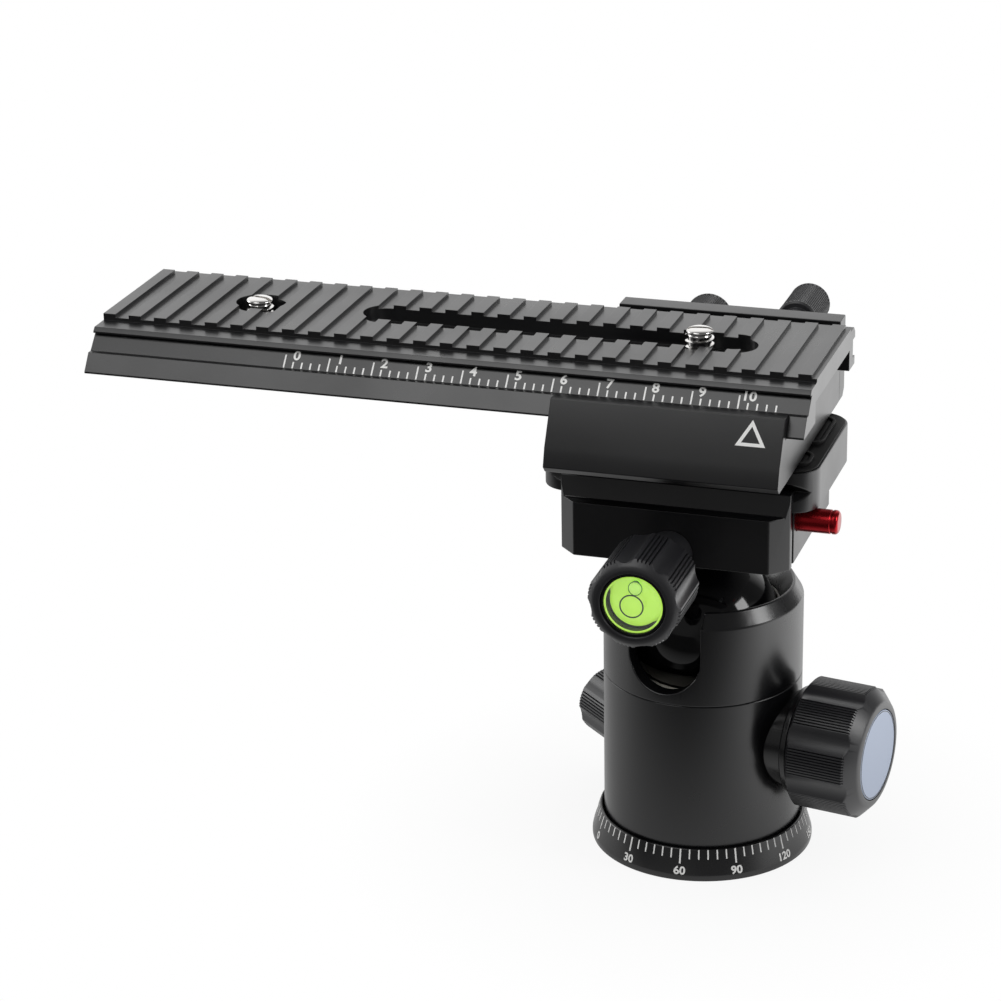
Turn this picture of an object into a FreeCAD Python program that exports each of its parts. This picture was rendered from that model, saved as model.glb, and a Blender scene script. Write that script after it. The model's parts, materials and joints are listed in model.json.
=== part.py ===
"""Macro focusing rail on a quick-release ball head, millimetres, +Z up.

Origin: centre of the base's underside, on the axis of the tripod socket.
+X runs along the rail and -Y is the side of the clamp knob.  The pieces of
the housing are drawn with the main knob along +X and are then turned as one
about the vertical axis by housing_heading.
"""
import FreeCAD, Part
import math
import os
import Sketcher
from FreeCAD import Placement, Rotation, Vector

doc = FreeCAD.newDocument("focusing_rail")
sheet = doc.addObject("Spreadsheet::Sheet", "Sizes")

SIZES = {
    "running_fit": 0.05,  # radial play of a turning or sliding fit
    "flat_play": 0.1,  # play between flat faces that slide past each other
    "cutter_run": 1,  # how far cutters run past a face
    "loose_play": 0.3,  # play round parts that may not rub
    "base_slope": 1.7,  # foot of the panning base outside that edge
    "base_rim": 1.2,  # upright edge of the foot
    "dial_wall": 0.6,  # upper edge of the cone that carries the degrees
    "base_height": 7,  # top of that cone
    "recess_floor": 3.6,  # floor of the recess the housing turns in
    "recess_gap": 0.4,  # gap seen round the housing
    "bearing_thickness": 0.8,  # thrust ring under the housing
    "bearing_inner": 12,
    "bearing_outer": 20,
    "spindle_radius": 9,  # post the housing turns on
    "spindle_top": 19.5,
    "spindle_flange": 13,  # foot of the post, let into the base from below
    "spindle_flange_height": 2,
    "socket_radius": 4.76,  # 3/8 inch tripod thread
    "socket_depth": 9,
    "bushing_radius": 6.6,
    "retainer_radius": 12,  # washer that keeps the housing on the post
    "retainer_height": 1.2,
    "retainer_screw_radius": 2.5,
    "retainer_screw_depth": 7,
    "retainer_head_radius": 4.2,
    "retainer_head_height": 2,
    "housing_heading": 350,  # direction of the main knob from +X
    "housing_wall": 1.8,  # outside that thread
    "joint_drop": 10.7,  # line between housing and collar, below the middle of the ball
    "cavity_margin": 0.4,  # bore of the wedge plunger outside the retaining washer
    "seat_spring_height": 1.9,  # from the step in the housing up to the lower ball seat
    "seat_margin": 0.6,  # bore of the lower seat outside the ball
    "spigot_wall": 1.7,  # thread between collar and housing
    "spigot_length": 2.4,
    "collar_edge_rise": 7.4,  # where the outer chamfer begins, above the middle of the ball
    "collar_rise": 10.7,
    "collar_chamfer": 2,
    "collar_land": 0.4,
    "mouth_overlap": 0.4,  # how far the collar's mouth reaches over the ball
    "mouth_rise": 5.7,
    "liner_wall": 1.5,  # play and wall of the upper seat outside the ball
    "liner_drop": 0.9,  # liner edge below the middle of the ball
    "notch_play": 1.2,  # notch for the neck at full tilt
    "notch_start": 10,
    "ball_rise": 23.8,  # middle of the ball above the main lock screw
    "ball_radius": 17,
    "neck_radius": 7.2,
    "neck_length": 23.1,  # from the middle of the ball
    "seat_drop": 17.3,  # underside of the lower seat, below the middle of the ball
    "seat_height": 6.8,
    "seat_hole": 7,
    "spring_margin": 0.8,  # radial room beside the seat spring
    "plunger_room": 1.5,  # above the head of the retaining screw
    "lock_axis_rise": 3.5,  # main lock screw above the plunger's underside
    "lock_screw_radius": 4,
    "lock_screw_tip": 1.6,
    "lock_screw_cover": 3.8,  # knob beyond the end of its screw
    "boss_depth": 3.6,  # how far the boss is let into the housing
    "boss_radius": 10.5,
    "boss_reach": 1.2,
    "boss_flange_radius": 12,
    "boss_flange_height": 1.7,
    "main_knob_gap": 0.5,
    "main_knob_length": 16.4,
    "main_knob_radius": 14.6,
    "main_knob_bevel": 2.9,
    "main_knob_chamfer": 0.8,
    "cap_radius": 10.1,
    "cap_height": 0.9,
    "main_knob_scallops": 8,
    "scallop_curve": 0.42,  # radius of a knob's scallops as a share of the knob's
    "scallop_depth": 0.9,
    "small_scallop_depth": 0.7,  # on the pan and clamp knobs
    "pan_knob_heading": 137,  # direction of the pan lock from +X
    "pan_axis_drop": 3,  # pan lock screw below the top of the post
    "pan_screw_radius": 3,
    "pan_pad_length": 3,
    "pan_knob_gap": 0.6,
    "pan_neck_radius": 5.5,
    "pan_neck_length": 2.6,
    "pan_knob_radius": 8.1,
    "pan_knob_length": 19.6,
    "pan_knob_bevel": 1.6,
    "pan_knob_scallops": 6,
    "pan_screw_cover": 6.2,
    "clamp_middle": -0.9,  # middle of the clamp along the rail
    "clamp_length": 50,
    "swivel_height": 0.6,  # washer between neck and clamp
    "clamp_height": 12,
    "clamp_corner": 3.8,
    "clamp_rear_wall": 2.7,  # clamp behind the plate
    "jaw_gap": 1.5,  # between clamp body and jaw
    "jaw_tuck": 0.3,  # how far the jaw reaches under the plate
    "jaw_thickness": 5.6,
    "jaw_drop": 0.2,  # jaw hangs this far below the clamp body
    "hook_rise": 4.7,
    "hook_wall": 2.4,
    "hook_slope": 1.2,
    "channel_half": 11,
    "channel_depth": 6.2,
    "clamp_bolt_radius": 3,
    "clamp_bolt_grip": 9.6,  # in the neck
    "clamp_bolt_head_radius": 5.4,
    "clamp_bolt_head_height": 3,
    "guide_radius": 1.5,
    "guide_spacing": 34,
    "guide_back": 8,
    "guide_cover": 1.2,  # jaw in front of the guide pins
    "clamp_axis_rise": 2.8,
    "guide_spring_radius": 2.4,
    "guide_spring_pocket": 3,
    "clamp_screw_radius": 2.5,
    "clamp_screw_back": 9.5,
    "clamp_knob_middle": -0.9,
    "clamp_knob_neck_radius": 5,
    "clamp_knob_neck": 13,
    "clamp_knob_radius": 9.85,
    "clamp_knob_length": 16.6,
    "clamp_knob_bevel": 1.7,
    "clamp_knob_scallops": 8,
    "level_radius": 6.9,
    "level_depth": 5,
    "knob_floor": 2,  # metal behind the level
    "level_wall": 0.6,
    "level_base": 1,
    "vial_height": 3,
    "lens_height": 0.8,
    "pin_radius": 2.6,
    "pin_side": 14.5,
    "pin_drop": 3.1,  # below the top of the clamp
    "pin_start": 15,
    "pin_end": 33,
    "pin_chamfer": 0.6,
    "pin_spring_start": 11.5,
    "coil_wire": 0.4,
    "row_side": -1.1,  # middle line of plate and rail, to the left of +X
    "plate_middle": -1.3,
    "plate_length": 60,
    "plate_half": 19,
    "plate_height": 8.9,
    "plate_corner": 6,
    "plate_lip": 2.2,
    "groove_rise": 2.1,
    "groove_depth": 2.3,
    "pad_recess": 1,
    "pad_rise": 1.1,  # pads above the plate
    "pad_width": 7,
    "pad_margin": 2.2,
    "pad_inset": 3.5,  # each end of the plate has a short pad and a long pad
    "short_pad": 8.2,
    "pad_spacing": 4.8,
    "long_pad": 17,
    "thread_quarter": 3.175,  # 1/4 inch camera thread
    "screw_chamfer": 0.5,
    "plate_screw_head_radius": 6,
    "plate_screw_head_height": 3,
    "plate_screw_lift": 0.6,
    "plate_screw_grip": 6.7,  # in the carriage
    "carriage_middle": -0.4,
    "carriage_length": 50,
    "carriage_height": 10,  # up to the face the rail slides on
    "rear_foot_room": 2.4,  # rear jaw behind the rail's foot
    "jaw_rise": 4.6,  # above that face
    "jaw_land": 0.7,  # top edge of the front jaw in front of the rail's foot
    "jaw_slope": 5,
    "jaw_bend_rise": 5.4,  # above the carriage's underside
    "jaw_flare": 1.2,
    "jaw_foot_rise": 1.4,
    "jaw_foot_chamfer": 1.3,
    "rear_jaw_thickness": 5.2,
    "rear_jaw_rise": 8.5,  # above the sliding face
    "rear_jaw_chamfer": 1.6,
    "rear_screw_radius": 1.5,
    "rear_screw_spacing": 38,
    "rear_screw_rise": 4.3,  # above the carriage's underside
    "rear_screw_head_radius": 2.75,
    "rear_screw_head_height": 3,
    "rear_screw_grip": 8,
    "rail_left": -131.7,
    "rail_length": 160,
    "web_rise": 4.7,  # underside of the rail's web above the sliding face
    "web_height": 4.7,  # up to the floor between the ridges
    "ridge_height": 0.8,
    "ridge_half": 16.7,
    "ridge_pitch": 6,
    "ridge_width": 2.9,
    "ridge_count": 27,
    "ledge_width": 4.9,  # beside the ridges
    "ledge_drop": 0.7,
    "lip_reach": 0.8,  # slope on the front lip, out from the ledge and down
    "lip_height": 1.2,
    "lip_undercut": 0.4,
    "band_slope": 2.8,  # scale band outside the ledge
    "band_drop": 4.6,  # lower edge of the scale band, below the ledge
    "band_step": 1.2,
    "foot_slope": 3.8,
    "foot_edge": 0.4,  # upright edge of the rail's feet
    "front_leg_half": 17.6,
    "rear_leg_half": 15.8,
    "rear_lip_half": 21.4,
    "rear_lip_drop": 2.6,
    "rear_waist_half": 19.3,
    "rear_foot_half": 21.3,
    "rear_foot_rise": 1.9,
    "slot_left": -76.7,
    "slot_right": 11.8,
    "eye_left": -106.6,
    "eye_right": -95.3,
    "slot_half": 4.9,
    "slot_step_drop": 2.9,
    "slot_through_half": 3.5,
    "pinion_middle": -11.3,
    "shaft_drop": 1.6,  # pinion shaft below the sliding face
    "shaft_radius": 1.5,
    "shaft_start": 4,
    "shaft_bush_wall": 1,
    "tooth_module": 0.6,
    "pinion_teeth": 15,
    "rack_teeth": 72,
    "rack_teeth_left": 56,  # teeth of the rack to the left of the pinion
    "rack_start": 8.4,
    "rack_width": 4,
    "mesh_play": 0.08,
    "root_ratio": 1.25,  # tooth root below the pitch line, in modules
    "tooth_slope": 0.36,
    "rack_screw_radius": 1,
    "rack_screw_head_radius": 1.6,
    "rack_screw_grip": 2.6,  # in the web
    "rack_screw_inset": 12,
    "end_wall": 4,  # metal behind the blind bores of the two rear knobs
    "focus_knob_chamfer": 0.5,
    "focus_neck_radius": 3.6,
    "focus_neck_gap": 0.3,
    "focus_neck_length": 3.9,
    "focus_knob_length": 17,
    "focus_knob_radius": 5.4,
    "set_screw_radius": 1,
    "lock_middle": 12.3,
    "lock_rise": 4,  # rail lock screw above the sliding face
    "lock_pad_radius": 1.5,
    "lock_pad_length": 3.2,
    "rail_screw_radius": 2,
    "rail_lock_neck_radius": 3.2,
    "rail_lock_gap": 1.2,
    "rail_lock_neck_length": 4.5,
    "rail_lock_length": 14,
    "rail_lock_radius": 4.65,
    "rail_lock_bevel": 0.5,
    "slot_screw_middle": -0.9,
    "slot_screw_rise": 3.4,  # above the floor between the ridges
    "eye_screw_middle": -101.4,
    "eye_screw_rise": 1.9,
    "camera_neck_radius": 2.9,
    "camera_thread_length": 4,  # thread left on the captive screw's end
    "camera_head_radius": 5.2,
    "camera_head_height": 2.4,
    "camera_washer_radius": 6.2,
    "camera_washer_height": 0.6,
}


class Size:
    """A length as the expression that binds it to the sheet and as a value."""

    def __init__(self, text, value):
        self.text = text
        self.value = value

    def combine(self, sign, other, value):
        return Size("(%s %s %s)" % (self.text, sign, other.text), value)

    def __add__(self, other):
        other = as_size(other)
        return self.combine("+", other, self.value + other.value)

    def __sub__(self, other):
        other = as_size(other)
        return self.combine("-", other, self.value - other.value)

    def __mul__(self, other):
        other = as_size(other)
        return self.combine("*", other, self.value * other.value)

    def __truediv__(self, other):
        other = as_size(other)
        return self.combine("/", other, self.value / other.value)

    def __radd__(self, other):
        return as_size(other) + self

    def __rsub__(self, other):
        return as_size(other) - self

    def __rmul__(self, other):
        return as_size(other) * self

    def __neg__(self):
        return Size("(0 - %s)" % self.text, -self.value)


def as_size(value):
    return value if isinstance(value, Size) else Size("%s" % value, float(value))


class Table:
    """The sizes by name: S.base_radius is the sheet's base_radius."""


S = Table()
for row, (alias, value) in enumerate(SIZES.items(), start=1):
    sheet.set("A%d" % row, alias)
    sheet.set("B%d" % row, str(value))
    sheet.setAlias("B%d" % row, alias)
    setattr(S, alias, Size("Sizes." + alias, float(value)))
doc.recompute()

# heights, each from the piece below that carries it
S.retainer_head_top = S.spindle_top + S.retainer_height + S.retainer_head_height
S.pan_axis_height = S.spindle_top - S.pan_axis_drop
S.plunger_bottom = S.retainer_head_top + S.plunger_room
S.lock_axis_height = S.plunger_bottom + S.lock_axis_rise
S.ball_height = S.lock_axis_height + S.ball_rise
S.seat_bottom = S.ball_height - S.seat_drop
S.seat_ledge = S.seat_bottom - S.seat_spring_height
S.seat_top = S.seat_bottom + S.seat_height
S.joint_height = S.ball_height - S.joint_drop
S.collar_edge = S.ball_height + S.collar_edge_rise
S.collar_top = S.ball_height + S.collar_rise
S.mouth_height = S.ball_height + S.mouth_rise
S.neck_top = S.ball_height + S.neck_length
S.clamp_bolt_bottom = S.neck_top - S.clamp_bolt_grip
S.clamp_bottom = S.neck_top + S.swivel_height
S.clamp_top = S.clamp_bottom + S.clamp_height
S.clamp_axis_height = S.clamp_bottom + S.clamp_axis_rise
S.channel_floor = S.clamp_top - S.channel_depth
S.hook_height = S.clamp_top + S.hook_rise
S.pin_height = S.clamp_top - S.pin_drop
S.plate_top = S.clamp_top + S.flat_play + S.plate_height
S.pad_top = S.plate_top + S.pad_rise
S.plate_screw_top = S.pad_top + S.plate_screw_grip
S.jaw_foot_height = S.pad_top + S.jaw_foot_rise
S.jaw_bend_height = S.pad_top + S.jaw_bend_rise
S.rear_screw_height = S.pad_top + S.rear_screw_rise
S.carriage_top = S.pad_top + S.carriage_height
S.shaft_height = S.carriage_top - S.shaft_drop
S.lock_height = S.carriage_top + S.lock_rise
S.jaw_top = S.carriage_top + S.jaw_rise
S.rear_jaw_top = S.carriage_top + S.rear_jaw_rise
S.rail_foot = S.carriage_top + S.flat_play
S.foot_height = S.rail_foot + S.foot_edge
S.rear_foot_height = S.rail_foot + S.rear_foot_rise
S.web_bottom = S.carriage_top + S.web_rise
S.rack_screw_top = S.web_bottom + S.rack_screw_grip
S.groove_floor = S.web_bottom + S.web_height
S.slot_step = S.groove_floor - S.slot_step_drop
S.ledge_height = S.groove_floor - S.ledge_drop
S.rear_lip_height = S.ledge_height - S.rear_lip_drop
S.band_height = S.ledge_height - S.band_drop
S.slot_screw_top = S.groove_floor + S.slot_screw_rise
S.eye_screw_top = S.groove_floor + S.eye_screw_rise

# radii, from the ball outwards
S.mouth_radius = S.ball_radius - S.mouth_overlap
S.seat_radius = S.ball_radius + S.seat_margin
S.liner_radius = S.ball_radius + S.liner_wall
S.spigot_radius = S.liner_radius + S.spigot_wall
S.housing_radius = S.spigot_radius + S.housing_wall
S.collar_top_radius = S.housing_radius - S.collar_chamfer
S.dial_radius = S.housing_radius + S.recess_gap + S.dial_wall
S.base_radius = S.dial_radius + S.base_slope
S.cavity_radius = S.retainer_radius + S.cavity_margin
S.notch_radius = S.neck_radius + S.notch_play
S.boss_start = S.housing_radius - S.boss_depth
S.boss_end = S.housing_radius + S.boss_reach
S.main_knob_start = S.boss_end + S.boss_flange_height + S.main_knob_gap
S.main_knob_end = S.main_knob_start + S.main_knob_length
S.lock_screw_end = S.main_knob_end - S.lock_screw_cover
S.pan_knob_start = S.housing_radius + S.pan_knob_gap
S.pan_knob_end = S.pan_knob_start + S.pan_knob_length
S.pan_screw_end = S.pan_knob_end - S.pan_screw_cover

# distances in front of and behind the ball, across the rail
S.clamp_rear = S.row_side + S.plate_half + S.clamp_rear_wall
S.jaw_back = S.plate_half - S.row_side - S.jaw_tuck
S.clamp_front = S.jaw_back - S.jaw_gap
S.jaw_front = S.jaw_back + S.jaw_thickness
S.guide_front = S.jaw_front - S.guide_cover
S.clamp_knob_start = S.jaw_front + S.clamp_knob_neck
S.clamp_knob_end = S.clamp_knob_start + S.clamp_knob_length
S.front_pad_start = S.row_side - S.plate_half + S.pad_inset
S.front_pad_end = S.front_pad_start + S.short_pad
S.rear_pad_start = S.front_pad_end + S.pad_spacing
S.rear_pad_end = S.rear_pad_start + S.long_pad
S.ledge_half = S.ridge_half + S.ledge_width
S.band_half = S.ledge_half + S.band_slope
S.foot_half = S.band_half + S.foot_slope
S.jaw_edge = S.foot_half - S.row_side + S.jaw_land
S.jaw_bend = S.jaw_edge + S.jaw_slope
S.jaw_foot = S.jaw_bend + S.jaw_flare
S.carriage_rear = S.row_side + S.rear_foot_half + S.rear_foot_room
S.jaw_rear_face = S.carriage_rear + S.rear_jaw_thickness
S.focus_neck_start = S.jaw_rear_face + S.focus_neck_gap
S.focus_knob_start = S.focus_neck_start + S.focus_neck_length
S.focus_knob_end = S.focus_knob_start + S.focus_knob_length
S.rail_lock_neck_start = S.jaw_rear_face + S.rail_lock_gap
S.rail_lock_start = S.rail_lock_neck_start + S.rail_lock_neck_length
S.rail_lock_end = S.rail_lock_start + S.rail_lock_length

FACING = {
    "+z": Rotation(Vector(0, 0, 1), 0),
    "-z": Rotation(Vector(1, 0, 0), 180),
    "+x": Rotation(Vector(0, 1, 0), 90),
    "+y": Rotation(Vector(1, 0, 0), -90),
    "-y": Rotation(Vector(1, 0, 0), 90),
}


def bind(thing, prop, size):
    thing.setExpression(prop, as_size(size).text)


def place(thing, at, facing="+z"):
    """Puts a thing at three bound coordinates with its own Z as named."""
    thing.Placement = Placement(Vector(*[as_size(v).value for v in at]), FACING[facing])
    for letter, size in zip("xyz", at):
        bind(thing, ".Placement.Base." + letter, size)
    return thing


def box(name, low, high):
    """A block between two opposite corners."""
    block = doc.addObject("Part::Box", name)
    for prop, a, b in zip(("Length", "Width", "Height"), low, high):
        bind(block, prop, as_size(b) - as_size(a))
    return place(block, low)


def rod(name, at, radius, length, facing="+z"):
    cylinder = doc.addObject("Part::Cylinder", name)
    bind(cylinder, "Radius", radius)
    bind(cylinder, "Height", length)
    return place(cylinder, at, facing)


def ball(name, at, radius):
    sphere = doc.addObject("Part::Sphere", name)
    bind(sphere, "Radius", radius)
    return place(sphere, at)


def fuse(name, pieces):
    joined = doc.addObject("Part::MultiFuse", name)
    joined.Shapes = pieces
    return joined


def common(name, pieces):
    shared = doc.addObject("Part::MultiCommon", name)
    shared.Shapes = pieces
    return shared


def cut(name, base, tools):
    """The base less its tools."""
    result = doc.addObject("Part::Cut", name)
    result.Base = base
    result.Tool = tools[0] if len(tools) == 1 else fuse(name + "_tools", tools)
    return result


def several(name, pieces):
    """Separate solids kept together as one piece."""
    holder = doc.addObject("Part::Compound", name)
    holder.Links = pieces
    return holder


def spun(name, thing, heading):
    """A thing turned about the vertical axis."""
    holder = several(name, [thing])
    bind(holder, ".Placement.Rotation.Angle", heading)
    return holder


def outline(body, role, corners, name):
    """A closed sketch whose every corner is bound to the sizes."""
    sketch = body.newObject("Sketcher::SketchObject", name)
    plane = [f for f in body.Origin.OriginFeatures if f.Role == role][0]
    sketch.AttachmentSupport = [(plane, "")]
    sketch.MapMode = "FlatFace"
    corners = [(as_size(u), as_size(v)) for u, v in corners]
    spots = [Vector(u.value, v.value, 0) for u, v in corners]
    count = len(spots)
    for i in range(count):
        sketch.addGeometry(Part.LineSegment(spots[i], spots[(i + 1) % count]), False)
    for i in range(count):
        sketch.addConstraint(Sketcher.Constraint("Coincident", i, 2, (i + 1) % count, 1))
    for i, (u, v) in enumerate(corners):
        for kind, size, axis in (("DistanceX", u, -2), ("DistanceY", v, -1)):
            if size.value == 0:
                sketch.addConstraint(Sketcher.Constraint("PointOnObject", i, 1, axis))
            else:
                index = sketch.addConstraint(Sketcher.Constraint(kind, -1, 1, i, 1, size.value))
                bind(sketch, "Constraints[%d]" % index, size)
    return sketch


def swept(name, role, corners, length):
    """A body padded from a closed outline; returns the body and its pad."""
    body = doc.addObject("PartDesign::Body", name)
    pad = body.newObject("PartDesign::Pad", name + "_pad")
    pad.Profile = outline(body, role, corners, name + "_outline")
    bind(pad, "Length", length)
    body.Tip = pad
    return body, pad


def along(name, corners, start, length):
    """A section of (y, z) corners drawn out along +X."""
    body, pad = swept(name, "YZ_Plane", corners, length)
    return place(body, (start, 0, 0))


def raised(name, corners, bottom, height):
    """A plan of (x, y) corners raised along +Z."""
    body, pad = swept(name, "XY_Plane", corners, height)
    return place(body, (0, 0, bottom))


def lathe(name, corners, at=(0, 0, 0), facing="+z"):
    """A turned piece from (radius, height) corners about its own Z."""
    body = doc.addObject("PartDesign::Body", name)
    sketch = outline(body, "XZ_Plane", corners, name + "_outline")
    turning = body.newObject("PartDesign::Revolution", name + "_turning")
    turning.Profile = sketch
    turning.ReferenceAxis = (sketch, ["V_Axis"])
    turning.Angle = 360
    body.Tip = turning
    return place(body, at, facing)


def ring(name, inner, outer, low, high, at=(0, 0, 0), facing="+z"):
    return lathe(name, [(inner, low), (outer, low), (outer, high), (inner, high)], at, facing)


def scalloped(name, blank, radius, count, low, high, at, facing, depth):
    """A knob blank with shallow hollows milled along its grip."""
    cutter = radius * S.scallop_curve
    tools = []
    for i in range(int(count.value)):
        angle = "%s * 360 / %s" % (i, count.text)
        tool = rod("%s_cutter%d" % (name, i), (0, 0, 0), cutter, high - low)
        reach = radius + cutter - depth
        bind(tool, ".Placement.Base.x", Size("cos(%s) * %s" % (angle, reach.text), 0))
        bind(tool, ".Placement.Base.y", Size("sin(%s) * %s" % (angle, reach.text), 0))
        bind(tool, ".Placement.Base.z", low)
        tools.append(tool)
    cluster = place(fuse(name + "_scallops", tools), at, facing)
    return cut(name + "_grip", blank, [cluster])


def long_hole(name, left, right, side, half, low, high):
    """A cutter with round ends, lying along X."""
    return fuse(name, [
        box(name + "_run", (left + half, side - half, low), (right - half, side + half, high)),
        rod(name + "_left_end", (left + half, side, low), half, high - low),
        rod(name + "_right_end", (right - half, side, low), half, high - low),
    ])


def coil(name, at, facing, radius, wire, pitch, length):
    """A helical compression spring about its own Z."""
    helix = doc.addObject("Part::Helix", name + "_helix")
    bind(helix, "Radius", radius)
    bind(helix, "Pitch", pitch)
    bind(helix, "Height", length)
    circle = doc.addObject("Part::Circle", name + "_wire")
    bind(circle, "Radius", wire)
    place(circle, (radius, 0, 0), "+y")
    sweep = doc.addObject("Part::Sweep", name + "_sweep")
    sweep.Sections = [circle]
    sweep.Spine = (helix, [])
    sweep.Solid = True
    sweep.Frenet = True
    return place(several(name, [sweep]), at, facing)


NODES = {}


def keep(name, thing):
    """Records a finished piece under its own name."""
    thing.Label = name
    NODES[name] = thing


def keep_turned(name, thing, heading=S.housing_heading):
    keep(name, spun(name + "_turned", thing, heading))


# --- base ---------------------------------------------------------------

recess_radius = S.housing_radius + S.recess_gap
keep("base_plate", lathe("base", [
    (S.spindle_flange, 0),
    (S.base_radius, 0),
    (S.base_radius, S.base_rim),
    (S.dial_radius, S.base_height),
    (recess_radius, S.base_height),
    (recess_radius, S.recess_floor),
    (S.spindle_radius, S.recess_floor),
    (S.spindle_radius, S.spindle_flange_height),
    (S.spindle_flange, S.spindle_flange_height),
]))
retainer_hole = S.spindle_top - S.retainer_screw_depth
keep("pan_spindle", lathe("spindle", [
    (S.bushing_radius, 0),
    (S.spindle_flange, 0),
    (S.spindle_flange, S.spindle_flange_height),
    (S.spindle_radius, S.spindle_flange_height),
    (S.spindle_radius, S.spindle_top),
    (S.retainer_screw_radius, S.spindle_top),
    (S.retainer_screw_radius, retainer_hole),
    (0, retainer_hole),
    (0, S.socket_depth),
    (S.bushing_radius, S.socket_depth),
]))
keep("tripod_bushing", ring("bushing", S.socket_radius, S.bushing_radius, 0, S.socket_depth))
retainer_top = S.spindle_top + S.retainer_height
keep("retaining_washer", ring("retainer", S.retainer_screw_radius, S.retainer_radius,
                              S.spindle_top, retainer_top))
keep("retaining_screw", lathe("retainer_screw", [
    (0, retainer_hole),
    (S.retainer_screw_radius, retainer_hole),
    (S.retainer_screw_radius, retainer_top),
    (S.retainer_head_radius, retainer_top),
    (S.retainer_head_radius, retainer_top + S.retainer_head_height),
    (0, retainer_top + S.retainer_head_height),
]))
housing_bottom = S.recess_floor + S.bearing_thickness
keep("pan_bearing", ring("bearing", S.bearing_inner, S.bearing_outer, S.recess_floor, housing_bottom))

# --- housing, drawn with the main knob along +X ---------------------------

spigot_bottom = S.joint_height - S.spigot_length
spindle_bore = S.spindle_radius + S.running_fit
lock_bore = S.lock_screw_radius + S.running_fit
pan_bore = S.pan_screw_radius + S.running_fit
lock_axis = (0, 0, S.lock_axis_height)
pan_axis = (0, 0, S.pan_axis_height)
shell_blank = lathe("shell_blank", [
    (spindle_bore, housing_bottom),
    (S.housing_radius, housing_bottom),
    (S.housing_radius, S.joint_height),
    (S.spigot_radius, S.joint_height),
    (S.spigot_radius, spigot_bottom),
    (S.seat_radius, spigot_bottom),
    (S.seat_radius, S.seat_ledge),
    (S.cavity_radius, S.seat_ledge),
    (S.cavity_radius, S.spindle_top - S.flat_play),
    (spindle_bore, S.spindle_top - S.flat_play),
])
pan_hole = rod("pan_hole", (0, 0, S.pan_axis_height), pan_bore, S.housing_radius + S.cutter_run, "+x")
shell = cut("shell", shell_blank, [
    rod("boss_pocket", (S.boss_start, 0, S.lock_axis_height), S.boss_radius, S.housing_radius, "+x"),
    rod("lock_hole", lock_axis, lock_bore, S.housing_radius, "+x"),
    spun("pan_hole_turned", pan_hole, 360 + S.pan_knob_heading - S.housing_heading),
])
keep_turned("housing_shell", shell)

notch = fuse("notch", [
    rod("notch_round", (0, -S.notch_start, S.ball_height), S.notch_radius, S.housing_radius, "-y"),
    box("notch_slot", (-S.notch_radius, -S.notch_start - S.housing_radius, S.ball_height),
        (S.notch_radius, -S.notch_start, S.collar_top + S.cutter_run)),
])
collar_blank = lathe("collar_blank", [
    (S.liner_radius, spigot_bottom),
    (S.spigot_radius, spigot_bottom),
    (S.spigot_radius, S.joint_height),
    (S.housing_radius, S.joint_height),
    (S.housing_radius, S.collar_edge),
    (S.collar_top_radius, S.collar_top),
    (S.collar_top_radius - S.collar_land, S.collar_top),
    (S.mouth_radius, S.mouth_height),
    (S.liner_radius, S.mouth_height),
])
keep_turned("housing_collar", cut("collar", collar_blank, [notch]))

socket = ball("socket", (0, 0, S.ball_height), S.ball_radius + S.loose_play)
liner_blank = ring("liner_blank", S.mouth_radius - S.cutter_run, S.liner_radius,
                   S.ball_height - S.liner_drop, S.mouth_height)
keep_turned("upper_ball_seat", cut("liner", liner_blank, [socket, notch]))
seat_blank = ring("seat_blank", S.seat_hole, S.seat_radius - S.running_fit, S.seat_bottom, S.seat_top)
keep_turned("lower_ball_seat", cut("seat", seat_blank, [socket]))
keep_turned("seat_spring", ring("seat_wave", S.cavity_radius + S.spring_margin,
                                S.seat_radius - S.spring_margin, S.seat_ledge, S.seat_bottom))

tip_room = S.lock_screw_radius + S.loose_play
wedge_bore = lathe("wedge_bore", [
    (0, S.lock_screw_tip - S.loose_play),
    (S.lock_screw_tip + S.loose_play, S.lock_screw_tip - S.loose_play),
    (tip_room, S.lock_screw_radius - S.loose_play),
    (tip_room, S.housing_radius),
    (0, S.housing_radius),
], lock_axis, "+x")
plunger_blank = rod("plunger_blank", (0, 0, S.plunger_bottom), S.cavity_radius - S.running_fit,
                    S.seat_bottom - S.plunger_bottom)
keep_turned("wedge_plunger", cut("plunger", plunger_blank, [wedge_bore]))

boss_face = S.boss_end + S.boss_flange_height
keep_turned("boss_ring", lathe("boss", [
    (lock_bore, S.boss_start),
    (S.boss_radius, S.boss_start),
    (S.boss_radius, S.boss_end),
    (S.boss_flange_radius, S.boss_end),
    (S.boss_flange_radius, boss_face),
    (lock_bore, boss_face),
], lock_axis, "+x"))

# --- main lock ------------------------------------------------------------

keep_turned("main_lock_screw", lathe("lock_screw", [
    (0, S.lock_screw_tip),
    (S.lock_screw_tip, S.lock_screw_tip),
    (S.lock_screw_radius, S.lock_screw_radius),
    (S.lock_screw_radius, S.lock_screw_end),
    (0, S.lock_screw_end),
], lock_axis, "+x"))
cap_floor = S.main_knob_end - S.cap_height
grip_end = S.main_knob_end - S.main_knob_bevel
main_blank = lathe("main_blank", [
    (S.lock_screw_radius, S.main_knob_start),
    (S.main_knob_radius - S.main_knob_chamfer, S.main_knob_start),
    (S.main_knob_radius, S.main_knob_start + S.main_knob_chamfer),
    (S.main_knob_radius, grip_end),
    (S.main_knob_radius - S.main_knob_bevel, S.main_knob_end),
    (S.cap_radius, S.main_knob_end),
    (S.cap_radius, cap_floor),
    (0, cap_floor),
    (0, S.lock_screw_end),
    (S.lock_screw_radius, S.lock_screw_end),
], lock_axis, "+x")
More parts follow.
